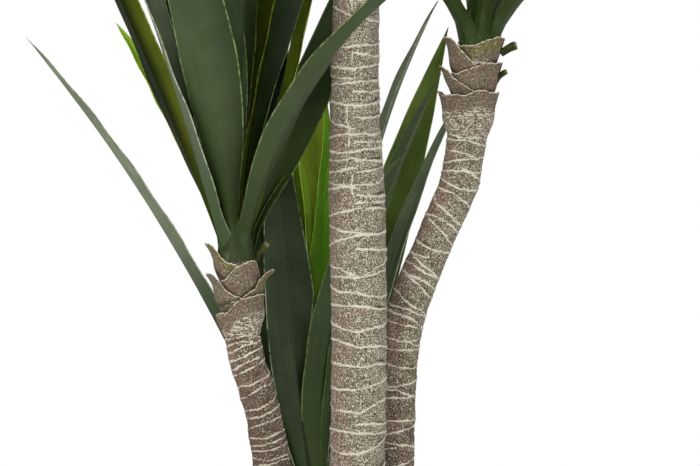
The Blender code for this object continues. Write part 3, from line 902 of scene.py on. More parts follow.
def sheathPoints(cane, order, readers):
    # a front and a back skin over the same grid, from the sheath's foot up to its rim
    s = sheathSettings
    sheath = collarSettings["left" if cane == "left" else "right"][order]
    rows, columns = s["rows"], s["columns"]
    foot = sheath["foot"] / 1000
    left, right = sheath["grow"]
    dice = random.Random(s["seed"] + 31 * order + len(cane))
    waves = [
        (round(dice.uniform(least, most)), anyPhase(dice), size) for least, most, size in s["rimWaves"]
    ]
    skins = ([], [])
    drawn = {"green": [], "shade": [], "fringe": []}
    necks = {}
    for i in range(rows):
        for j in range(columns):
            azimuth = 360 * j / columns
            angle = math.radians(azimuth)
            rim, out = readers[order](azimuth)
            rim += sum(size * math.sin(n * angle + phase) for n, phase, size in waves)
            up = min(1.0, i / (rows - 2)) ** 0.85
            height = mix(foot, rim - s["rimBand"], up) if i < rows - 1 else rim
            key = round(height, 3)
            if key not in necks:
                necks[key] = Neck(cane, key)
            neck = necks[key]
            grow = mix(right, left, (1 - math.cos(angle)) / 2) / 1000
            rise = min(1.0, (height - foot) / s["footEase"])
            body = neck.radius + mix(-s["footSink"], grow, rise * rise * (3 - 2 * rise))
            flare = max(0.0, out - neck.radius - grow) * math.exp(-(rim - height) / s["flareFall"])
            reach = body + flare + s["ripple"] * math.sin(9 * angle + 300 * height + order)
            way = neck.out(azimuth + s["turn"][cane])
            middle = neck.middle + neck.axis * (height - key)
            wall = s["wall"] * (0.6 if i == rows - 1 else 1.0)
            skins[0].append(middle + way * reach)
            skins[1].append(middle + way * (reach - wall))
            shade = 0.0
            for other in readers[order + 1:]:
                gap = height - other(azimuth)[0]
                if gap > -s["gapOverlap"]:
                    shade = max(shade, 1.0 - max(0.0, gap) / s["gapShade"])
            drawn["shade"].append(shade)
            drawn["green"].append(sheath["green"] * max(0.0, 1 - (rim - height) / s["greenReach"]))
            low = (rim - height - sheath["fringe"] / 1000) / s["fringeFade"] if "fringe" in sheath else 0.0
            drawn["fringe"].append(min(1.0, max(0.0, low)))
    return skins, drawn


def makeSheaths(cane, husk, rim):
    table = collarSettings["left" if cane == "left" else "right"]
    readers = [rimReader(sheath) for sheath in table]
    rows, columns = sheathSettings["rows"], sheathSettings["columns"]
    for tier, orders in sheathSettings["tiers"].items():
        points, faces, kinds = [], [], []
        drawn = {"green": [], "shade": [], "fringe": []}
        for order in orders:
            start = len(points)
            skins, marks = sheathPoints(cane, order, readers)
            points += [tuple(p) for p in skins[0] + skins[1]]
            for label, values in marks.items():
                drawn[label] += values + values
            back = start + rows * columns
            outer = gridFaces(rows, columns, start, closed=True)
            inner = gridFaces(rows, columns, back, closed=True, flip=True)
            faces += [tuple(f) for f in outer] + [tuple(f) for f in inner]
            rimStart = (rows - 2) * columns
            kinds += [int(n >= rimStart) for n in range(len(outer))] + [0] * len(inner)
            last = (rows - 1) * columns
            for j in range(columns):
                k = (j + 1) % columns
                faces.append((start + last + j, start + last + k, back + last + k, back + last + j))
                faces.append((start + k, start + j, back + j, back + k))
                kinds += [1, 0]
        name = f"{cane}LeafBases{tier}"
        piece = meshPiece(name, points, faces, [husk, rim], kinds, None, drawn, 60.0)
        keep(piece, "husk", f"{cane}_leaf_bases_{tier}")


def makeStubs(material):
    s = stubSettings
    points, faces, cut = [], [], []
    sides, rings = s["sides"], s["rings"]
    for number, (cane, azimuth, height, length, width, thickness, lean, bend) in enumerate(s["ends"]):
        neck = Neck(cane, height)
        start = len(points)
        out, wide = neck.out(azimuth), neck.out(azimuth + 90)
        place = neck.middle + out * (neck.radius + s["start"])
        for i in range(rings):
            t = i / (rings - 1)
            angle = math.radians(mix(lean, bend, t))
            place = place + (out * math.sin(angle) + neck.axis * math.cos(angle)) * (length / (rings - 1))
            size = (s["taper"][0] + s["taper"][1] * t**1.5) * (1.0 if i < rings - 1 else s["endRing"]) / 2
            up = (neck.axis * math.sin(angle) - out * math.cos(angle)).normalized()
            for j in range(sides):
                around = 2 * math.pi * j / sides
                uneven = 1 + 0.12 * math.sin(3 * around + number) + 0.06 * math.sin(5 * around + 7 * t)
                spot = place + wide * (width * math.cos(around) * (size * uneven))
                spot = spot + up * (thickness * math.sin(around) * (size * uneven))
                points.append(tuple(spot))
                cut.append(max(0.0, (t - (1 - s["cutShare"])) / s["cutShare"]))
        faces += [tuple(f) for f in gridFaces(rings, sides, start, closed=True)]
        faces.append(tuple(range(start + sides - 1, start - 1, -1)))
        faces.append(tuple(range(start + (rings - 1) * sides, start + rings * sides)))
    piece = meshPiece("cutStubs", points, faces, [material], drawn={"cut": cut}, sharp=50.0)
    keep(piece, "husk")


# Leaves: the source's plan, leaf by leaf, carried to finer blades

leafSettings = {
    "length": 0.540,
    "width": 0.056,
    "solidThickness": 0.0056,
    "clearance": 0.0012,
    "rootSink": 0.005,
    "hubHeight": 0.060,
    "hubInset": 0.0015,
    "hubTop": 0.006,
}

leafRule = {  # rise, lean, arch and lengthShare run from the lowest leaf to the upright heart
    "goldenAngle": 137.508,
    "turnSpread": 7,
    "rise": (0.012, 0.048),
    "lean": (15, 3),
    "leanSpread": 2,
    "arch": (76, 12),
    "archSpread": 8,
    "power": (1.1, 1.5),
    "sway": 12,
    "lengthShare": (1.0, 0.86),
    "lengthSpread": (0.93, 1.04),
    "roll": 12,
    "twist": 22,
    "heart": 0.8,  # from this share of the way in, the leaves fill the set sector too
    "tries": 16,  # how often a leaf in the way is bent, and how far each time
    "turnTry": 16,
    "leanTry": 3,
    "archTry": (-14, 8),
}

solidShape = [  # share of the length, share of the width and fold, as in the source
    (0.00, 0.36, 50.0),
    (0.085, 0.39, 38.0),
    (0.20, 0.80, 22.0),
    (0.42, 1.00, 14.0),
    (0.72, 0.66, 20.0),
    (1.00, 0.00, 30.0),
]

bladeShape = [  # the finer outline: clasp, waist, belly and point
    (0.000, 0.62, 54.0),
    (0.040, 0.54, 48.0),
    (0.085, 0.40, 40.0),
    (0.130, 0.54, 31.0),
    (0.176, 0.72, 23.0),
    (0.257, 0.89, 17.0),
    (0.360, 1.00, 14.0),
    (0.460, 0.97, 14.0),
    (0.600, 0.84, 16.0),
    (0.800, 0.50, 21.0),
    (0.920, 0.22, 26.0),
    (1.000, 0.00, 30.0),
]

bladeSettings = {
    "stations": 64,
    "stationPower": 0.92,  # below 1 the stations crowd towards the tip
    "sides": (-1.0, -0.955, -0.80, -0.56, -0.30, -0.10, 0.0, 0.10, 0.30, 0.56, 0.80, 0.955, 1.0),
    "narrowest": 0.0004,
    "channelRound": 0.22,  # how round the channel's floor is
    "waistShare": 0.30,  # share of the length over which a leaf's own waist fades out
    "curl": (-0.05, 0.08),
    "ripple": 0.0007,
    "rippleWaves": (30, 48),
    "pleat": 0.00009,
    "pleats": 17.0,
    "keel": 0.0016,
    "edge": 0.0007,
    "ridge": 0.0009,  # the keel's own ridge below, and how wide it is
    "ridgeWidth": 0.09,
    "claspRows": 5,
    "claspShare": 0.05,  # share of the length over which the clasp opens into the blade
    "claspAngle": 56.0,
    "claspGap": 0.0002,
    "claspLift": 0.00016,  # each lower leaf lies this much further out on the heart
    "mapLength": 0.55,  # metres of blade that count as one in the leaf's map
}


def leafOf(azimuth, rise, lean, arch, power, sway, length, width=None, roll=0.0, twist=0.0, tone=None,
           waist=1.0, clasp=None, slim=None):
    # waist: width low down; clasp: half angle round the heart; slim: a half that stays narrow low down,
    # as how narrow, up to which share of the length, and full from which
    return {
        "azimuth": azimuth, "rise": rise, "lean": lean, "arch": arch, "power": power, "sway": sway,
        "length": length, "width": width or leafSettings["width"], "roll": roll, "twist": twist,
        "tone": tone, "waist": waist, "clasp": clasp or bladeSettings["claspAngle"], "slim": slim,
    }


headSettings = {
    "centre": {"seed": 47, "leaves": 23, "first": 10.0, "setSector": None, "setLeaves": []},
    "left": {
        "seed": 11, "leaves": 18, "first": 70.0, "setSector": (160.0, 352.0),
        "setLeaves": [
            leafOf(191, 0.006, 16.6, 26, 1.3, -4, 0.52, 0.047, 30, -15, "deepOlive", 0.62, 34),
            leafOf(144, 0.020, 23, 48, 1.4, -19, 0.28, 0.030, 3, -18, "lime"),
            leafOf(204, 0.004, 13, 18, 1.3, -8, 0.52, 0.058, -12, -50, "pale", 0.86, 44),
            leafOf(261, 0.014, 10, 75, 1.3, -13, 0.54, 0.060, 10, -26, "broad", 1.0, 66),
            leafOf(57, 0.028, 23, 29, 1.2, 17, 0.52, 0.042, -28, 8, "deep"),
            leafOf(42, 0.004, 26, 24, 1.3, 20, 0.50, 0.050, -18, -29, "citron"),
            leafOf(318, 0.004, 18, 86, 1.0, 43, 0.55, 0.042, -26, 54, "broad", 1.1, 36),
            leafOf(46, 0.006, 35, 40, 1.3, 10, 0.52, 0.045, 40, 0, "mid"),
            leafOf(51, 0.010, 38, 59, 1.2, 25, 0.55, 0.048, 14, -4, "mid"),
        ],
    },
    "right": {
        "seed": 23, "leaves": 21, "first": 20.0, "setSector": (205.0, 345.0),
        "setLeaves": [
            leafOf(226, 0.004, 47, 48, 1.3, 0, 0.52, 0.047, 35, 0, "mid", 1.0, 50),
            leafOf(270, 0.010, 7, 48, 1.2, 0, 0.52, 0.060, 0, 0, "mid", 1.6, 78),
            leafOf(326, 0.006, 30, 52, 1.2, -6, 0.52, 0.046, -40, -10, "mid", 1.0, 36),
            leafOf(245, 0.014, 9, 36, 1.2, 5, 0.52, None, 0, 0, "deep"),
            leafOf(308, 0.016, 10, 40, 1.2, -5, 0.50, None, 0, 0, "deep"),
        ],
    },
    "rear": {
        "seed": 31, "leaves": 0, "first": 0.0, "setSector": None,
        "setLeaves": [
            leafOf(191, 0.006, 22, 40, 1.35, -24, 0.61, 0.043, 13, -2, "ashen"),
            leafOf(233, 0.004, 11, 16, 1.25, 31, 0.47, 0.058, 16, -7, "dusk", 1.0, None, (0.10, 0.33, 0.52)),
            leafOf(278, 0.012, 0, 58, 1.65, 45, 0.42, 0.060, 38, -8, "fresh"),
            leafOf(79, 0.040, 6, 10, 1.3, 6, 0.44, 0.055, 17, 48, "bright"),
            leafOf(63, 0.025, 4, 14, 1.4, -1, 0.50, 0.042, -4, 6, "bright"),
            leafOf(118, 0.030, 0, 17, 1.8, 0, 0.394, 0.054, 46, -8, "lime"),
            leafOf(77, 0.017, 11, 16, 1.3, 18, 0.50, 0.042, -4, -24, "citron"),
            leafOf(9, 0.011, 3, 29, 1.7, 5, 0.58, 0.047, 1, 10, "pale"),
            leafOf(17, 0.029, 12, 26, 1.5, 29, 0.556, 0.060, 18, 46, "moss"),
            leafOf(335, 0.009, 0, 37, 1.1, -13, 0.49, 0.042, -4, -5, "fresh"),
            leafOf(5, 0.010, 11, 26, 1.25, 5, 0.48, 0.046, 11, 18, "pale"),
            leafOf(88, 0.020, 11, 63, 1.3, 11, 0.53, 0.056, -3, -13, "deep"),
            leafOf(147, 0.029, 11, 34, 1.5, 12, 0.48, 0.056, -5, -14, "deep"),
            leafOf(114, 0.042, 5, 14, 1.15, -9, 0.46, 0.056, 5, 21, "citron"),
            leafOf(40, 0.026, 76, 124, 1.0, 4, 0.45, 0.050, 6, 10, "mid"),
            leafOf(128, 0.028, 74, 122, 1.0, -6, 0.44, 0.050, -8, -12, "mid"),
            leafOf(168, 0.024, 78, 126, 1.0, 5, 0.43, 0.048, 5, 8, "mid"),
        ],
    },
}

fillerLeaves = {  # leaves that fill the room left between the source's own
    "rear": [
        leafOf(215, 0.008, 12, 13, 1.0, 12, 0.44, 0.050, 34, -7, "deep", 1.0, None, (0.45, 1.0, 1.1)),
        leafOf(90, 0.020, 7, 9, 1.2, 0, 0.53, 0.064, 3, 4, "citron"),
    ],
    "left": [
        leafOf(52, 0.010, 24.5, 23, 1.2, 18, 0.52, 0.064, -20, -10, "deep"),
    ],
}


def hubRadius(neck, rise):
    foot, top = neck.radius - leafSettings["hubInset"], leafSettings["hubTop"]
    return mix(foot, top, rise / leafSettings["hubHeight"])


def heading(neck, leaf, share):
    # the way a leaf's middle line runs at a share of its length, and the way across it
    turn = leaf["azimuth"] + leaf["sway"] * share
    angle = math.radians(mix(leaf["lean"], leaf["arch"], share ** leaf["power"]))
    tangent = neck.axis * math.cos(angle) + neck.out(turn) * math.sin(angle)
    return tangent, neck.out(turn + 90.0)


def leafLine(neck, leaf, shares, steps=4):
    # points down a leaf's middle, each with the directions across it and up from its face
    place = neck.middle + neck.axis * leaf["rise"]
    place = place + neck.out(leaf["azimuth"]) * (hubRadius(neck, leaf["rise"]) - leafSettings["rootSink"])
    line = []
    for before, share in zip([0.0, *shares], shares):
        for k in range(steps):
            run = heading(neck, leaf, mix(before, share, (k + 0.5) / steps))[0]
            place = place + run * leaf["length"] * (share - before) / steps
        tangent, wide = heading(neck, leaf, share)
        angle = math.radians(leaf["roll"] + leaf["twist"] * share)
        across = wide * math.cos(angle) + tangent.cross(wide) * math.sin(angle)
        line.append((place, across, tangent.cross(across)))
    return line


def solidLeaf(neck, leaf, grown=0.0):
    # the source's coarse blade, used here only to plan
    points, faces = [], []
    line = leafLine(neck, leaf, [row[0] for row in solidShape])
    thick = max(leafSettings["solidThickness"], leaf["length"] / 100) + 2 * grown
    for (middle, across, up), (_, part, fold) in zip(line[:-1], solidShape):
        half = leaf["width"] * part / 2 + grown
        lift = up * half * math.sin(math.radians(fold))
        spread = across * half * math.cos(math.radians(fold))
        points += [
            middle + spread + lift, middle + up * thick * 0.45,
            middle - spread + lift, middle - up * thick * 0.55,
        ]
    tip = len(points)
    points.append(line[-1][0])
    faces.append((0, 1, 2, 3))
    for low in range(0, tip, 4):
        for i in range(4):
            j = (i + 1) % 4
            last = low + 4 >= tip
            faces.append((low + i, low + j, tip) if last else (low + i, low + j, low + 4 + j, low + 4 + i))
    return points, faces


def ruledLeaf(dice, azimuth, share):
    r = leafRule
    return leafOf(
        azimuth + dice.uniform(-r["turnSpread"], r["turnSpread"]),
        mix(*r["rise"], share),
        mix(*r["lean"], share) + dice.uniform(-r["leanSpread"], r["leanSpread"]),
        mix(*r["arch"], share) + dice.uniform(-r["archSpread"], r["archSpread"]),
        dice.uniform(*r["power"]),
        dice.uniform(-r["sway"], r["sway"]),
        leafSettings["length"] * mix(*r["lengthShare"], share) * dice.uniform(*r["lengthSpread"]),
        None,
        dice.uniform(-r["roll"], r["roll"]),
        dice.uniform(-r["twist"], r["twist"]),
    )


def inSector(azimuth, sector):
    return sector is not None and (azimuth - sector[0]) % 360.0 < sector[1] - sector[0]


def treeOf(obj):
    mesh = obj.data
    return BVHTree.FromPolygons([v.co for v in mesh.vertices], [tuple(p.vertices) for p in mesh.polygons])


def planLeaves():
    # each head's leaves; a ruled one that would touch a limb or another head is bent away or left out
    necks = {name: Neck(name) for name in headSettings}
    plans = {name: list(head["setLeaves"]) for name, head in headSettings.items()}
    limbs = [treeOf(obj) for node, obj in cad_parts.items() if "cane" in node or "bases" in node]
    blades = {
        name: [BVHTree.FromPolygons(*solidLeaf(necks[name], leaf)) for leaf in plan]
        for name, plan in plans.items()
    }

    def touches(name, leaf):
        tree = BVHTree.FromPolygons(*solidLeaf(necks[name], leaf, leafSettings["clearance"]))
        others = [blade for head in blades if head != name for blade in blades[head]]
        return any(tree.overlap(other) for other in limbs + others)

    for name, head in headSettings.items():
        dice = random.Random(head["seed"])
        for i in range(head["leaves"]):
            share = i / (head["leaves"] - 1)
            azimuth = (head["first"] + i * leafRule["goldenAngle"]) % 360.0
            leaf = ruledLeaf(dice, azimuth, share)
            if inSector(azimuth, head["setSector"]) and share < leafRule["heart"]:
                continue
            for _ in range(leafRule["tries"]):
                if not touches(name, leaf):
                    plans[name].append(leaf)
                    blades[name].append(BVHTree.FromPolygons(*solidLeaf(necks[name], leaf)))
                    break
                leaf["azimuth"] += dice.uniform(-leafRule["turnTry"], leafRule["turnTry"])
                leanTry = dice.uniform(-leafRule["leanTry"], leafRule["leanTry"])
                leaf["lean"] = max(1.0, leaf["lean"] + leanTry)
                leaf["arch"] += dice.uniform(*leafRule["archTry"])
    for name, extra in fillerLeaves.items():
        plans[name] += extra
    return plans


def smoothRows(table, shares):
    # reads the table with its corners rounded off
    rows = np.array(table)
    fine = np.linspace(0, 1, 401)
    window = np.ones(17) / 17
    read = []
    for column in (1, 2):
        values = np.interp(fine, rows[:, 0], rows[:, column])
        padded = np.pad(values, 8, mode="reflect", reflect_type="odd")
        read.append(np.interp(shares, fine, np.convolve(padded, window, mode="valid")))
    return read


stationShares = np.linspace(0, 1, bladeSettings["stations"]) ** bladeSettings["stationPower"]
stationParts, stationFolds = smoothRows(bladeShape, stationShares)


def openSkin(leaf, dice, middle, across, up, half):
    # the blade's middle surface: channelled, a little curled and rippled, and pleated
    b = bladeSettings
    sides = np.array(b["sides"])
    share = stationShares[:, None]
    fold = np.radians(stationFolds)[:, None]
    flat = b["channelRound"]
    channel = (np.sqrt(sides**2 + flat**2) - flat) / (math.sqrt(1 + flat**2) - flat)
    curl = dice.uniform(*b["curl"])
    wave = anyPhase(dice)
    lift = half * np.sin(fold) * channel + curl * half * np.abs(sides) ** 5
    lift = lift + b["pleat"] * np.cos(sides * b["pleats"] + wave) * np.minimum(1.0, half / 0.01)
    ripple = b["ripple"] * np.sin(share * dice.uniform(*b["rippleWaves"]) + wave + 2 * sides)
    lift = lift + ripple * sides**2 * np.minimum(1.0, share * 4)
    spread = half * np.cos(fold) * sides
    if leaf["slim"]:
        narrow, start, end = leaf["slim"]
        held = mix(narrow, 1.0, np.clip((share - start) / (end - start), 0, 1))
        spread = np.where(sides > 0, spread * held, spread)
    return middle[:, None] + across[:, None] * spread[..., None] + up[:, None] * lift[..., None]


def claspedSkin(neck, leaf, skin, middle, half, rank):
    # the clasp follows the heart's round side, from its foot to where the blade opens
    b = bladeSettings
    sides = np.array(b["sides"])
    axis, core = np.array(neck.axis), np.array(neck.middle)
    height = (middle - core) @ axis
    offset = middle - core - height[:, None] * axis
    radial = np.linalg.norm(offset, axis=1)
    outward = offset / radial[:, None]
    sideways = np.cross(axis, outward)
    opening = np.clip(stationShares / b["claspShare"], 0, 1)[:, None]
    opening = opening**2 * (3 - 2 * opening)
    outside = b["claspLift"] * rank + b["claspGap"]
    surface = radial[:, None] + (leafSettings["rootSink"] + outside) * (1 - opening)
    reach = math.radians(leaf["clasp"]) * surface[0, 0]
    angle = sides * mix(reach, half, opening) / surface
    around = np.cos(angle)[..., None] * outward[:, None] + np.sin(angle)[..., None] * sideways[:, None]
    wrapped = core + height[:, None, None] * axis + surface[..., None] * around
    skin = mix(wrapped, skin, opening[..., None])
    levels = np.linspace(0.0004, leaf["rise"], b["claspRows"], endpoint=False)
    turn = sides * math.radians(leaf["clasp"])
    around = np.cos(turn)[:, None] * outward[0] + np.sin(turn)[:, None] * sideways[0]
    foot = [core + level * axis + (hubRadius(neck, level) + outside) * around for level in levels]
    return np.concatenate([foot, skin]), levels, opening


def bladeFaces(rows, columns):
    # both faces of the blade and its closed rim, each face marked left half 0, edge 1 or right half 2
    under = rows * columns
    faces, kinds = [], []
    column = np.tile(np.arange(columns - 1), rows - 1)
    edge = (column == 0) | (column == columns - 2)
    body = np.where(edge, 1, np.where(column < (columns - 1) / 2, 0, 2))
    for start, flip in ((0, False), (under, True)):
        faces.append(gridFaces(rows, columns, start, flip=flip))
        kinds.append(body)

    def strip(first, second, flip, kind):
        quads = np.stack([first, second, second + under, first + under], 1)
        faces.append(quads[:, ::-1] if flip else quads)
        kinds.append(np.full(len(first), kind, dtype=int))

    row, side = np.arange(rows - 1), np.arange(columns - 1)
    for j, flip in ((0, False), (columns - 1, True)):
        strip(row * columns + j, (row + 1) * columns + j, flip, 1)
    for i, flip in ((0, True), (rows - 1, False)):
        strip(i * columns + side, i * columns + side + 1, flip, 0)
    return np.concatenate(faces), np.concatenate(kinds)


def blade(neck, leaf, dice, rank):
    # a thin closed blade: a clasp round the heart, then channelled above and keeled below
    b = bladeSettings
    sides = np.array(b["sides"])
    line = leafLine(neck, leaf, list(stationShares), 1)
    middle, across, up = (np.array([[*row[k]] for row in line]) for k in range(3))
    waist = mix(leaf["waist"], 1.0, np.clip(stationShares / b["waistShare"], 0, 1) ** 1.5)
    half = np.maximum(leaf["width"] * stationParts * waist / 2, b["narrowest"])[:, None]
    skin = openSkin(leaf, dice, middle, across, up, half)
    skin, levels, opening = claspedSkin(neck, leaf, skin, middle, half, rank)
    rows, columns = len(skin), len(sides)

    # thickness, with a keel below
    face = np.cross(np.gradient(skin, axis=0), np.gradient(skin, axis=1))
    face /= np.maximum(np.linalg.norm(face, axis=2, keepdims=True), 1e-9)
    halves = np.concatenate([np.full((len(levels), 1), half[0, 0]), half])
    opened = np.concatenate([np.zeros((len(levels), 1)), opening])
    thick = mix(b["keel"], b["edge"], np.abs(sides)) / 2 * np.minimum(1.0, halves / 0.004)
    ridge = b["ridge"] * np.exp(-((sides / b["ridgeWidth"]) ** 2))
    ridge = ridge * np.minimum(1.0, halves / 0.008) * opened
    top = skin + face * thick[..., None]
    low = skin - face * (thick + ridge)[..., None]
    points = np.concatenate([top.reshape(-1, 3), low.reshape(-1, 3)])
    run = np.concatenate([levels - leaf["rise"], stationShares * leaf["length"]])[:, None] / b["mapLength"]
    uv = np.stack(np.broadcast_arrays((sides + 1) / 2, run), -1).reshape(-1, 2)
    faces, kinds = bladeFaces(rows, columns)
    return points, faces, kinds, np.concatenate([uv, uv])


# foot, body, the darker body colour and edge of the blade, gloss, and the share of the ruled leaves that
# take it; footReach is where the foot's colour ends, sheen a painted pale streak of sheen, shadow a darker
# half painted in shade. Most tones are lit and shaded copies of one leaf green: deep and dusk are painted
# shade, as deep in the heads; grey, pale and ashen a painted grey sheen; olive, dim, citron, bright and lime
# painted light let through backlit leaves, and fresh, citron and bright are also lighter to make up for
# the shade where their leaves sit
toneSettings = {
    "deep": {
        "foot": (40, 54, 22), "body": (32, 42, 22), "dark": (18, 26, 13), "edge": (66, 82, 42),
        "rough": 0.48, "gloss": 0.02, "deal": 0.30,
    },
    "mid": {
        "foot": (42, 58, 18), "body": (54, 70, 38), "dark": (40, 54, 28), "edge": (104, 122, 66),
        "rough": 0.46, "gloss": 0.16, "deal": 0.36,
    },
    "broad": {
        "foot": (42, 56, 20), "body": (64, 79, 48), "dark": (54, 68, 38), "edge": (122, 142, 80),
        "rough": 0.44, "gloss": 0.20, "deal": 0.0, "shadow": ((44, 56, 28), (0.55, 1.0, 0.0, 0.85)),
    },
    "grey": {
        "foot": (54, 70, 36), "body": (84, 95, 72), "dark": (62, 74, 50), "edge": (156, 164, 130),
        "rough": 0.44, "gloss": 0.36, "deal": 0.22,
    },
    "olive": {
        "foot": (54, 66, 18), "body": (66, 76, 20), "dark": (46, 54, 14), "edge": (112, 122, 40),
        "rough": 0.50, "gloss": 0.0, "deal": 0.12,
    },
    "bright": {
        "foot": (84, 130, 34), "body": (124, 180, 56), "dark": (106, 158, 46), "edge": (190, 210, 80),
        "rough": 0.50, "gloss": 0.0, "deal": 0.0,
    },
    "pale": {
        "foot": (56, 72, 38), "body": (110, 122, 92), "dark": (84, 96, 68), "edge": (176, 182, 158),
        "rough": 0.44, "gloss": 0.30, "deal": 0.0, "footReach": (0.03, 0.50), "sheen": 0.6,
    },
    "ashen": {
        "foot": (42, 58, 24), "body": (120, 130, 104), "dark": (92, 104, 78), "edge": (182, 188, 168),
        "rough": 0.44, "gloss": 0.16, "deal": 0.0, "footReach": (0.36, 0.78), "sheen": 0.5,
    },
    "dusk": {
        "foot": (46, 60, 28), "body": (50, 62, 39), "dark": (38, 48, 29), "edge": (132, 142, 112),
        "rough": 0.46, "gloss": 0.12, "deal": 0.0,
    },
    "dim": {
        "foot": (50, 60, 18), "body": (80, 88, 26), "dark": (64, 72, 22), "edge": (150, 158, 60),
        "rough": 0.50, "gloss": 0.0, "deal": 0.0, "shadow": ((24, 30, 14), (0.50, 0.86, 0.95, 0.0)),
    },
    "citron": {
        "foot": (72, 86, 24), "body": (136, 158, 48), "dark": (112, 132, 38), "edge": (180, 194, 84),
        "rough": 0.50, "gloss": 0.0, "deal": 0.0,
    },
    "fresh": {
        "foot": (56, 74, 34), "body": (68, 86, 52), "dark": (60, 76, 46), "edge": (106, 128, 68),
        "rough": 0.46, "gloss": 0.16, "deal": 0.0,
    },
    "moss": {
        "foot": (56, 72, 26), "body": (86, 104, 42), "dark": (64, 82, 32), "edge": (140, 158, 62),
        "rough": 0.48, "gloss": 0.12, "deal": 0.0,
    },
    "lime": {
        "foot": (80, 108, 28), "body": (140, 180, 54), "dark": (110, 150, 40), "edge": (196, 212, 92),
        "rough": 0.50, "gloss": 0.0, "deal": 0.0,
    },
}

splitTones = {"deepOlive": ("deep", "dim")}  # a leaf whose halves catch the light unlike

leafLook = {
    "streak": (30.0, 2.2, 1.0),  # how each pattern is drawn out across and along the blade
    "vein": (170.0, 2.0, 1.0),
    "glint": (110.0, 3.0, 1.0),
    "footReach": (0.03, 0.30),
    "mark": shown(140, 150, 112),
    "spot": shown(128, 142, 76),
    "relief": 0.0003,
    "edgeRoughness": 0.5,
}


def leafMaterial(tone):
    settings = toneSettings[tone]
    foot, darker, edge = shown(*settings["foot"]), shown(*settings["dark"]), shown(*settings["edge"])
    look = Finish("leaf" + tone.capitalize(), settings["rough"], settings["gloss"])
    place, across, along = look.leafMap()
    streak = look.noise(1.0, 3.0, 0.6, leafLook["streak"], place)
    vein = look.noise(1.0, 1.0, 0.5, leafLook["vein"], place)
    cloud = look.noise(24.0, 2.0, 0.5)
    body = look.blend(look.fit(cloud, *softEdge), darker, shown(*settings["body"]))
    body = look.blend(look.fit(streak, 0.35, 0.7, 0.0, 0.6), body, shown(*settings["body"]))
    body = look.blend(look.fit(vein, 0.48, 0.72, 0.0, 0.10), body, edge)
    if "shadow" in settings:
        colour, reach = settings["shadow"]
        body = look.blend(look.fit(across, *reach), body, shown(*colour))
    if "sheen" in settings:
        glint = look.noise(1.0, 2.0, 0.6, leafLook["glint"], place)
        body = look.blend(look.fit(glint, 0.56, 0.66, 0.0, settings["sheen"]), body, edge)
    reach = settings.get("footReach", leafLook["footReach"])
    colour = look.blend(look.fit(along, *reach, 1.0, 0.0), body, foot)

    # a few pale marks, and yellowish spots near the foot
    mark = look.noise(150.0, 1.0, 0.4, (1.0, 1.0, 3.0), distortion=0.6)
    colour = look.blend(look.fit(mark, 0.80, 0.82, 0.0, 0.5), colour, leafLook["mark"])
    spots = look.plus(look.noise(420.0, 1.0, 0.4), look.fit(along, 0.0, 0.09, 0.08, 0.0))
    colour = look.blend(look.fit(spots, 0.80, 0.84, 0.0, 0.6), colour, leafLook["spot"])
    rough = look.fit(streak, 0.3, 0.7, settings["rough"] - 0.05, settings["rough"] + 0.08)
    normal = look.bump(look.plus(streak, look.times(vein, 0.5)), leafLook["relief"], 0.35)
    return look.done(colour, normal, rough)


def edgeMaterial(tone):
    settings = toneSettings[tone]
    look = Finish("leafEdge" + tone.capitalize(), leafLook["edgeRoughness"], settings["gloss"])
    broken = look.noise(140.0, 2.0, 0.6)
    colour = look.blend(look.fit(broken, 0.35, 0.6), shown(*settings["body"]), shown(*settings["edge"]))
    along = look.leafMap()[2]
    colour = look.blend(look.fit(along, 0.02, 0.22, 0.8, 0.0), colour, shown(*settings["foot"]))
    return look.done(colour, look.bump(broken, leafLook["relief"], 0.5))


def dealTone(dice):
    pick = dice.random()
    for tone, settings in toneSettings.items():
        pick -= settings["deal"]
        if pick < 0:
            return tone
    return "mid"


heartSettings = {"rows": 12, "columns": 32, "foot": 0.0003, "ribs": 4, "ribDepth": 0.03}


def makeHub(name, material):
    # the green heart that the leaves' clasps sit on
    neck, h = Neck(name), heartSettings
    points = []
    for i in range(h["rows"]):
        rise = mix(h["foot"], leafSettings["hubHeight"], i / (h["rows"] - 1))
        for j in range(h["columns"]):
            rib = h["ribDepth"] * math.sin(2 * h["ribs"] * math.pi * j / h["columns"])
            reach = hubRadius(neck, rise) * (1 + rib)
            points.append(tuple(neck.middle + neck.out(360 * j / h["columns"]) * reach + neck.axis * rise))
    uv = [(0.5, 0.1)] * len(points)
    piece = meshPiece(name + "Heart", points, tubeFaces(h["rows"], h["columns"]), [material], uv=uv)
    keep(piece, "leaf")


def makeHeads(materials, edges):
    for name, leaves in planLeaves().items():
        neck = Neck(name)
        dice = random.Random(headSettings[name]["seed"] + 500)
        inward = sorted(range(len(leaves)), key=lambda n: -leaves[n]["rise"])
        lots = {}
        for number, leaf in enumerate(leaves):
            tone = leaf["tone"] or dealTone(dice)
            lots.setdefault(tone, []).append(blade(neck, leaf, dice, inward.index(number)))
        nodes = [f"{name}_head_leaves"]  # the head's first piece replaces the node
        for tone, lot in lots.items():
            left, right = splitTones.get(tone, (tone, tone))
            sizes = np.cumsum([0] + [len(p[0]) for p in lot])
            points = np.concatenate([p[0] for p in lot])
            faces = np.concatenate([p[1] + size for p, size in zip(lot, sizes)])
            kinds = np.concatenate([p[2] for p in lot])
            uv = np.concatenate([p[3] for p in lot])
            label = f"{name}Leaves{tone[0].upper()}{tone[1:]}"
            parts = [materials[left], edges[right], materials[right]]
            piece = meshPiece(label, points, faces, parts, kinds, uv)
            keep(piece, "leaf", *nodes)
            nodes = []
        makeHub(name, materials["mid"])
        print("head", name, len(leaves), "leaves in", len(lots), "tones")


# Pot and its filling

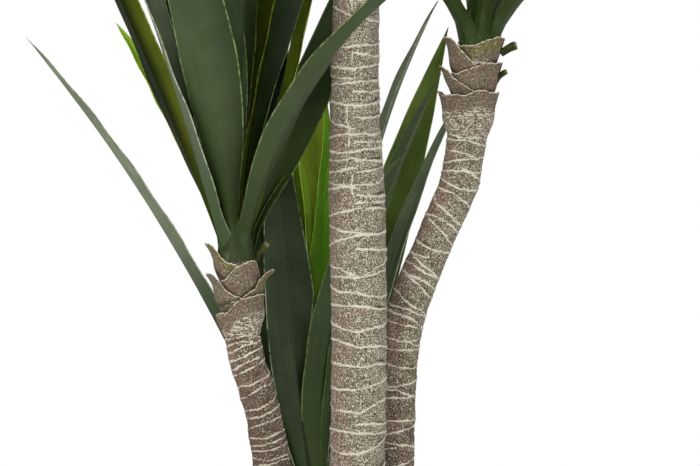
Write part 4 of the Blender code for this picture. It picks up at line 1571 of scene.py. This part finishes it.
potSettings = {
    "height": 0.190,
    "topRadius": 0.108,
    "footRadius": 0.084,
    "wall": 0.003,
    "floor": 0.006,
    "lip": 0.006,
    "lipDrop": 0.014,
    "band": 0.118,  # height at which the raised band round the wall starts
    "footRing": 0.0016,  # how far the pot's underside lies above its foot ring
    "steps": 144,
    "roughness": 0.5,
    "black": shown(44, 44, 46),
    "dust": shown(72, 70, 68),
}

fillSettings = {
    "level": 0.1765,
    "foot": 0.150,
    "gap": 0.0008,
    "seed": 8,
    "rings": 46,
    "columns": 150,
    "relief": 0.0012,
    "waves": 60,
    "waveLength": (0.004, 0.03),
    "crumbs": 1500,
    "crumbSize": (0.0009, 0.0030),
    "roughness": 0.95,
    "dark": shown(52, 40, 30),
    "brown": shown(88, 68, 50),
    "pale": shown(130, 110, 86),
}


def potMaterial():
    look = Finish("potPlastic", potSettings["roughness"])
    fine = look.noise(900.0, 2.0, 0.6)
    dust = look.noise(14.0, 4.0, 0.6, (1, 1, 0.5))
    colour = look.blend(look.fit(dust, 0.4, 0.75, 0.0, 0.5), potSettings["black"], potSettings["dust"])
    rough = look.fit(dust, 0.3, 0.7, 0.42, 0.62)
    return look.done(colour, look.bump(fine, 0.00025, 0.5), rough)


def fillMaterial():
    f = fillSettings
    look = Finish("fillCrumb", f["roughness"])
    grain = look.noise(380.0, 4.0, 0.65)
    patch = look.noise(60.0, 3.0, 0.6)
    colour = look.blend(look.fit(patch, 0.35, 0.65), f["dark"], f["brown"])
    colour = look.blend(look.fit(grain, 0.58, 0.72, 0.0, 0.7), colour, f["pale"])
    return look.done(colour, look.bump(grain, f["relief"], 0.9))


def turnedPiece(name, profile, steps, material):
    angles = np.linspace(0, 2 * math.pi, steps, endpoint=False)
    points = [(r * math.cos(a), r * math.sin(a), z) for r, z in profile for a in angles]
    return meshPiece(name, points, tubeFaces(len(profile), steps), [material], sharp=35.0)


def makePot():
    p = potSettings
    foot, under, band = p["footRadius"], p["footRing"], p["band"]
    lip = p["topRadius"] + p["lip"]
    drop = p["height"] - p["lipDrop"]
    inside = p["topRadius"] - p["wall"]
    brim = p["height"] - 0.002

    def wallAt(height):
        return mix(foot, p["topRadius"] - 0.001, (height - 0.003) / (drop - 0.003))

    # the underside and foot ring, the wall with its band, the lip, and the inner wall down to the floor
    profile = [(0.004, under), (foot - 0.016, under), (foot - 0.0145, 0.0)]
    profile += [(foot - 0.003, 0.0), (foot - 0.0009, 0.0009), (foot, 0.003)]
    profile += [(wallAt(h), h) for h in np.linspace(0.012, band, 12)]
    profile += [(wallAt(0.1195) + 0.0011, 0.1195), (wallAt(0.1225) + 0.0013, 0.1225)]
    profile += [(wallAt(0.124), 0.124)]
    profile += [(wallAt(h), h) for h in np.linspace(0.130, drop - 0.001, 6)]
    profile += [(lip - 0.0022, drop - 0.0002), (lip - 0.0006, drop + 0.0006), (lip, drop + 0.0022)]
    profile += [(lip, p["height"] - 0.0034), (lip - 0.0009, p["height"] - 0.0012)]
    profile += [(lip - 0.0028, p["height"]), (p["topRadius"] - 0.0012, p["height"] - 0.0003)]
    profile += [(inside, brim)]
    profile += [(mix(inside, foot - p["wall"], t), mix(brim, p["floor"], t)) for t in (0.1, 0.5, 1.0)]
    profile += [(0.004, p["floor"])]
    pot = turnedPiece("plainPot", profile, p["steps"], potMaterial())
    keep(pot, "pot", "pot")


def crumbShape():
    ball = bmesh.new()
    bmesh.ops.create_icosphere(ball, subdivisions=1, radius=1.0)
    points = [v.co.copy() for v in ball.verts]
    faces = [tuple(v.index for v in face.verts) for face in ball.faces]
    ball.free()
    return points, faces


def makeFill():
    # an uneven surface with a skirt below it, and crumbs strewn over it
    f = fillSettings
    dice = random.Random(f["seed"])
    inner = mix(potSettings["footRadius"], potSettings["topRadius"], 0.93) - potSettings["wall"] - f["gap"]
    rings, columns = f["rings"], f["columns"]
    finest, coarsest = f["waveLength"]
    angles = np.linspace(0, 2 * math.pi, columns, endpoint=False)
    radii = np.linspace(0.002, inner, rings)
    x, y = radii[:, None] * np.cos(angles), radii[:, None] * np.sin(angles)
    height = np.full_like(x, f["level"])
    for _ in range(f["waves"]):
        size = math.exp(dice.uniform(math.log(finest), math.log(coarsest)))
        way, phase = anyPhase(dice), anyPhase(dice)
        wave = np.sin((x * math.cos(way) + y * math.sin(way)) * 6.28 / size + phase)
        height += 0.32 * f["relief"] * (size / coarsest) ** 0.4 * wave
    points = np.stack([x, y, height], -1).reshape(-1, 3)
    faces = [tuple(q) for q in gridFaces(rings, columns, closed=True)]
    faces.append(tuple(range(columns)))
    low = len(points)
    skirt = np.stack(
        [inner * 0.97 * np.cos(angles), inner * 0.97 * np.sin(angles), np.full(columns, f["foot"])], -1
    )
    points = np.concatenate([points, skirt])
    edge = (rings - 1) * columns
    for j in range(columns):
        k = (j + 1) % columns
        faces.append((edge + j, low + j, low + k, edge + k))
    faces.append(tuple(low + columns - 1 - j for j in range(columns)))
    points, faces = [tuple(p) for p in points], [tuple(reversed(f)) for f in faces]
    crumbPoints, crumbFaces = crumbShape()
    for _ in range(f["crumbs"]):
        reach, way = inner * 0.985 * math.sqrt(dice.random()), dice.uniform(0, 2 * math.pi)
        size = dice.uniform(*f["crumbSize"])
        start = len(points)
        stretch = Vector((dice.uniform(0.6, 1.3), dice.uniform(0.6, 1.3), dice.uniform(0.4, 0.8)))
        x, y, z = reach * math.cos(way), reach * math.sin(way), f["level"] + 0.0003
        for co in crumbPoints:
            spot = co * stretch * size * dice.uniform(0.75, 1.2)
            points.append((x + spot.x, y + spot.y, z + spot.z))
        faces += [tuple(start + i for i in face) for face in crumbFaces]
    piece = meshPiece("crumbFill", points, faces, [fillMaterial()], sharp=30.0)
    bpy.context.view_layer.update()
    keep(piece, "fill", "fill")


# Stage


def makeFloor():
    f = floorSettings
    look = Finish("floorPale", f["roughness"])
    tint = look.noise(f["cloud"], 2.0, 0.5)
    material = look.done(look.blend(look.fit(tint, 0.3, 0.7), *f["shades"]))
    half, drop = f["size"] / 2, -f["drop"]
    points = [(-half, -half, drop), (half, -half, drop), (half, half, drop), (-half, half, drop)]
    floor = meshPiece("paleFloor", points, [(0, 1, 2, 3)], [material])


scene.view_settings.view_transform = "Standard"
makeCamera()
makeLamps()
makeWorld()
makeFloor()
print("camera, light and floor ready")

bark = barkMaterial()
for caneName in caneRoutes:
    makeCaneBark(caneName, bark)

husk, rim = huskMaterial(), rimMaterial()
for caneName in caneRoutes:
    makeSheaths(caneName, husk, rim)
makeStubs(stubMaterial())
print("cut leaf bases ready")

leafMaterials = {tone: leafMaterial(tone) for tone in toneSettings}
edgeMaterials = {tone: edgeMaterial(tone) for tone in toneSettings}
makeHeads(leafMaterials, edgeMaterials)

makePot()
makeFill()
print("pot and filling ready")
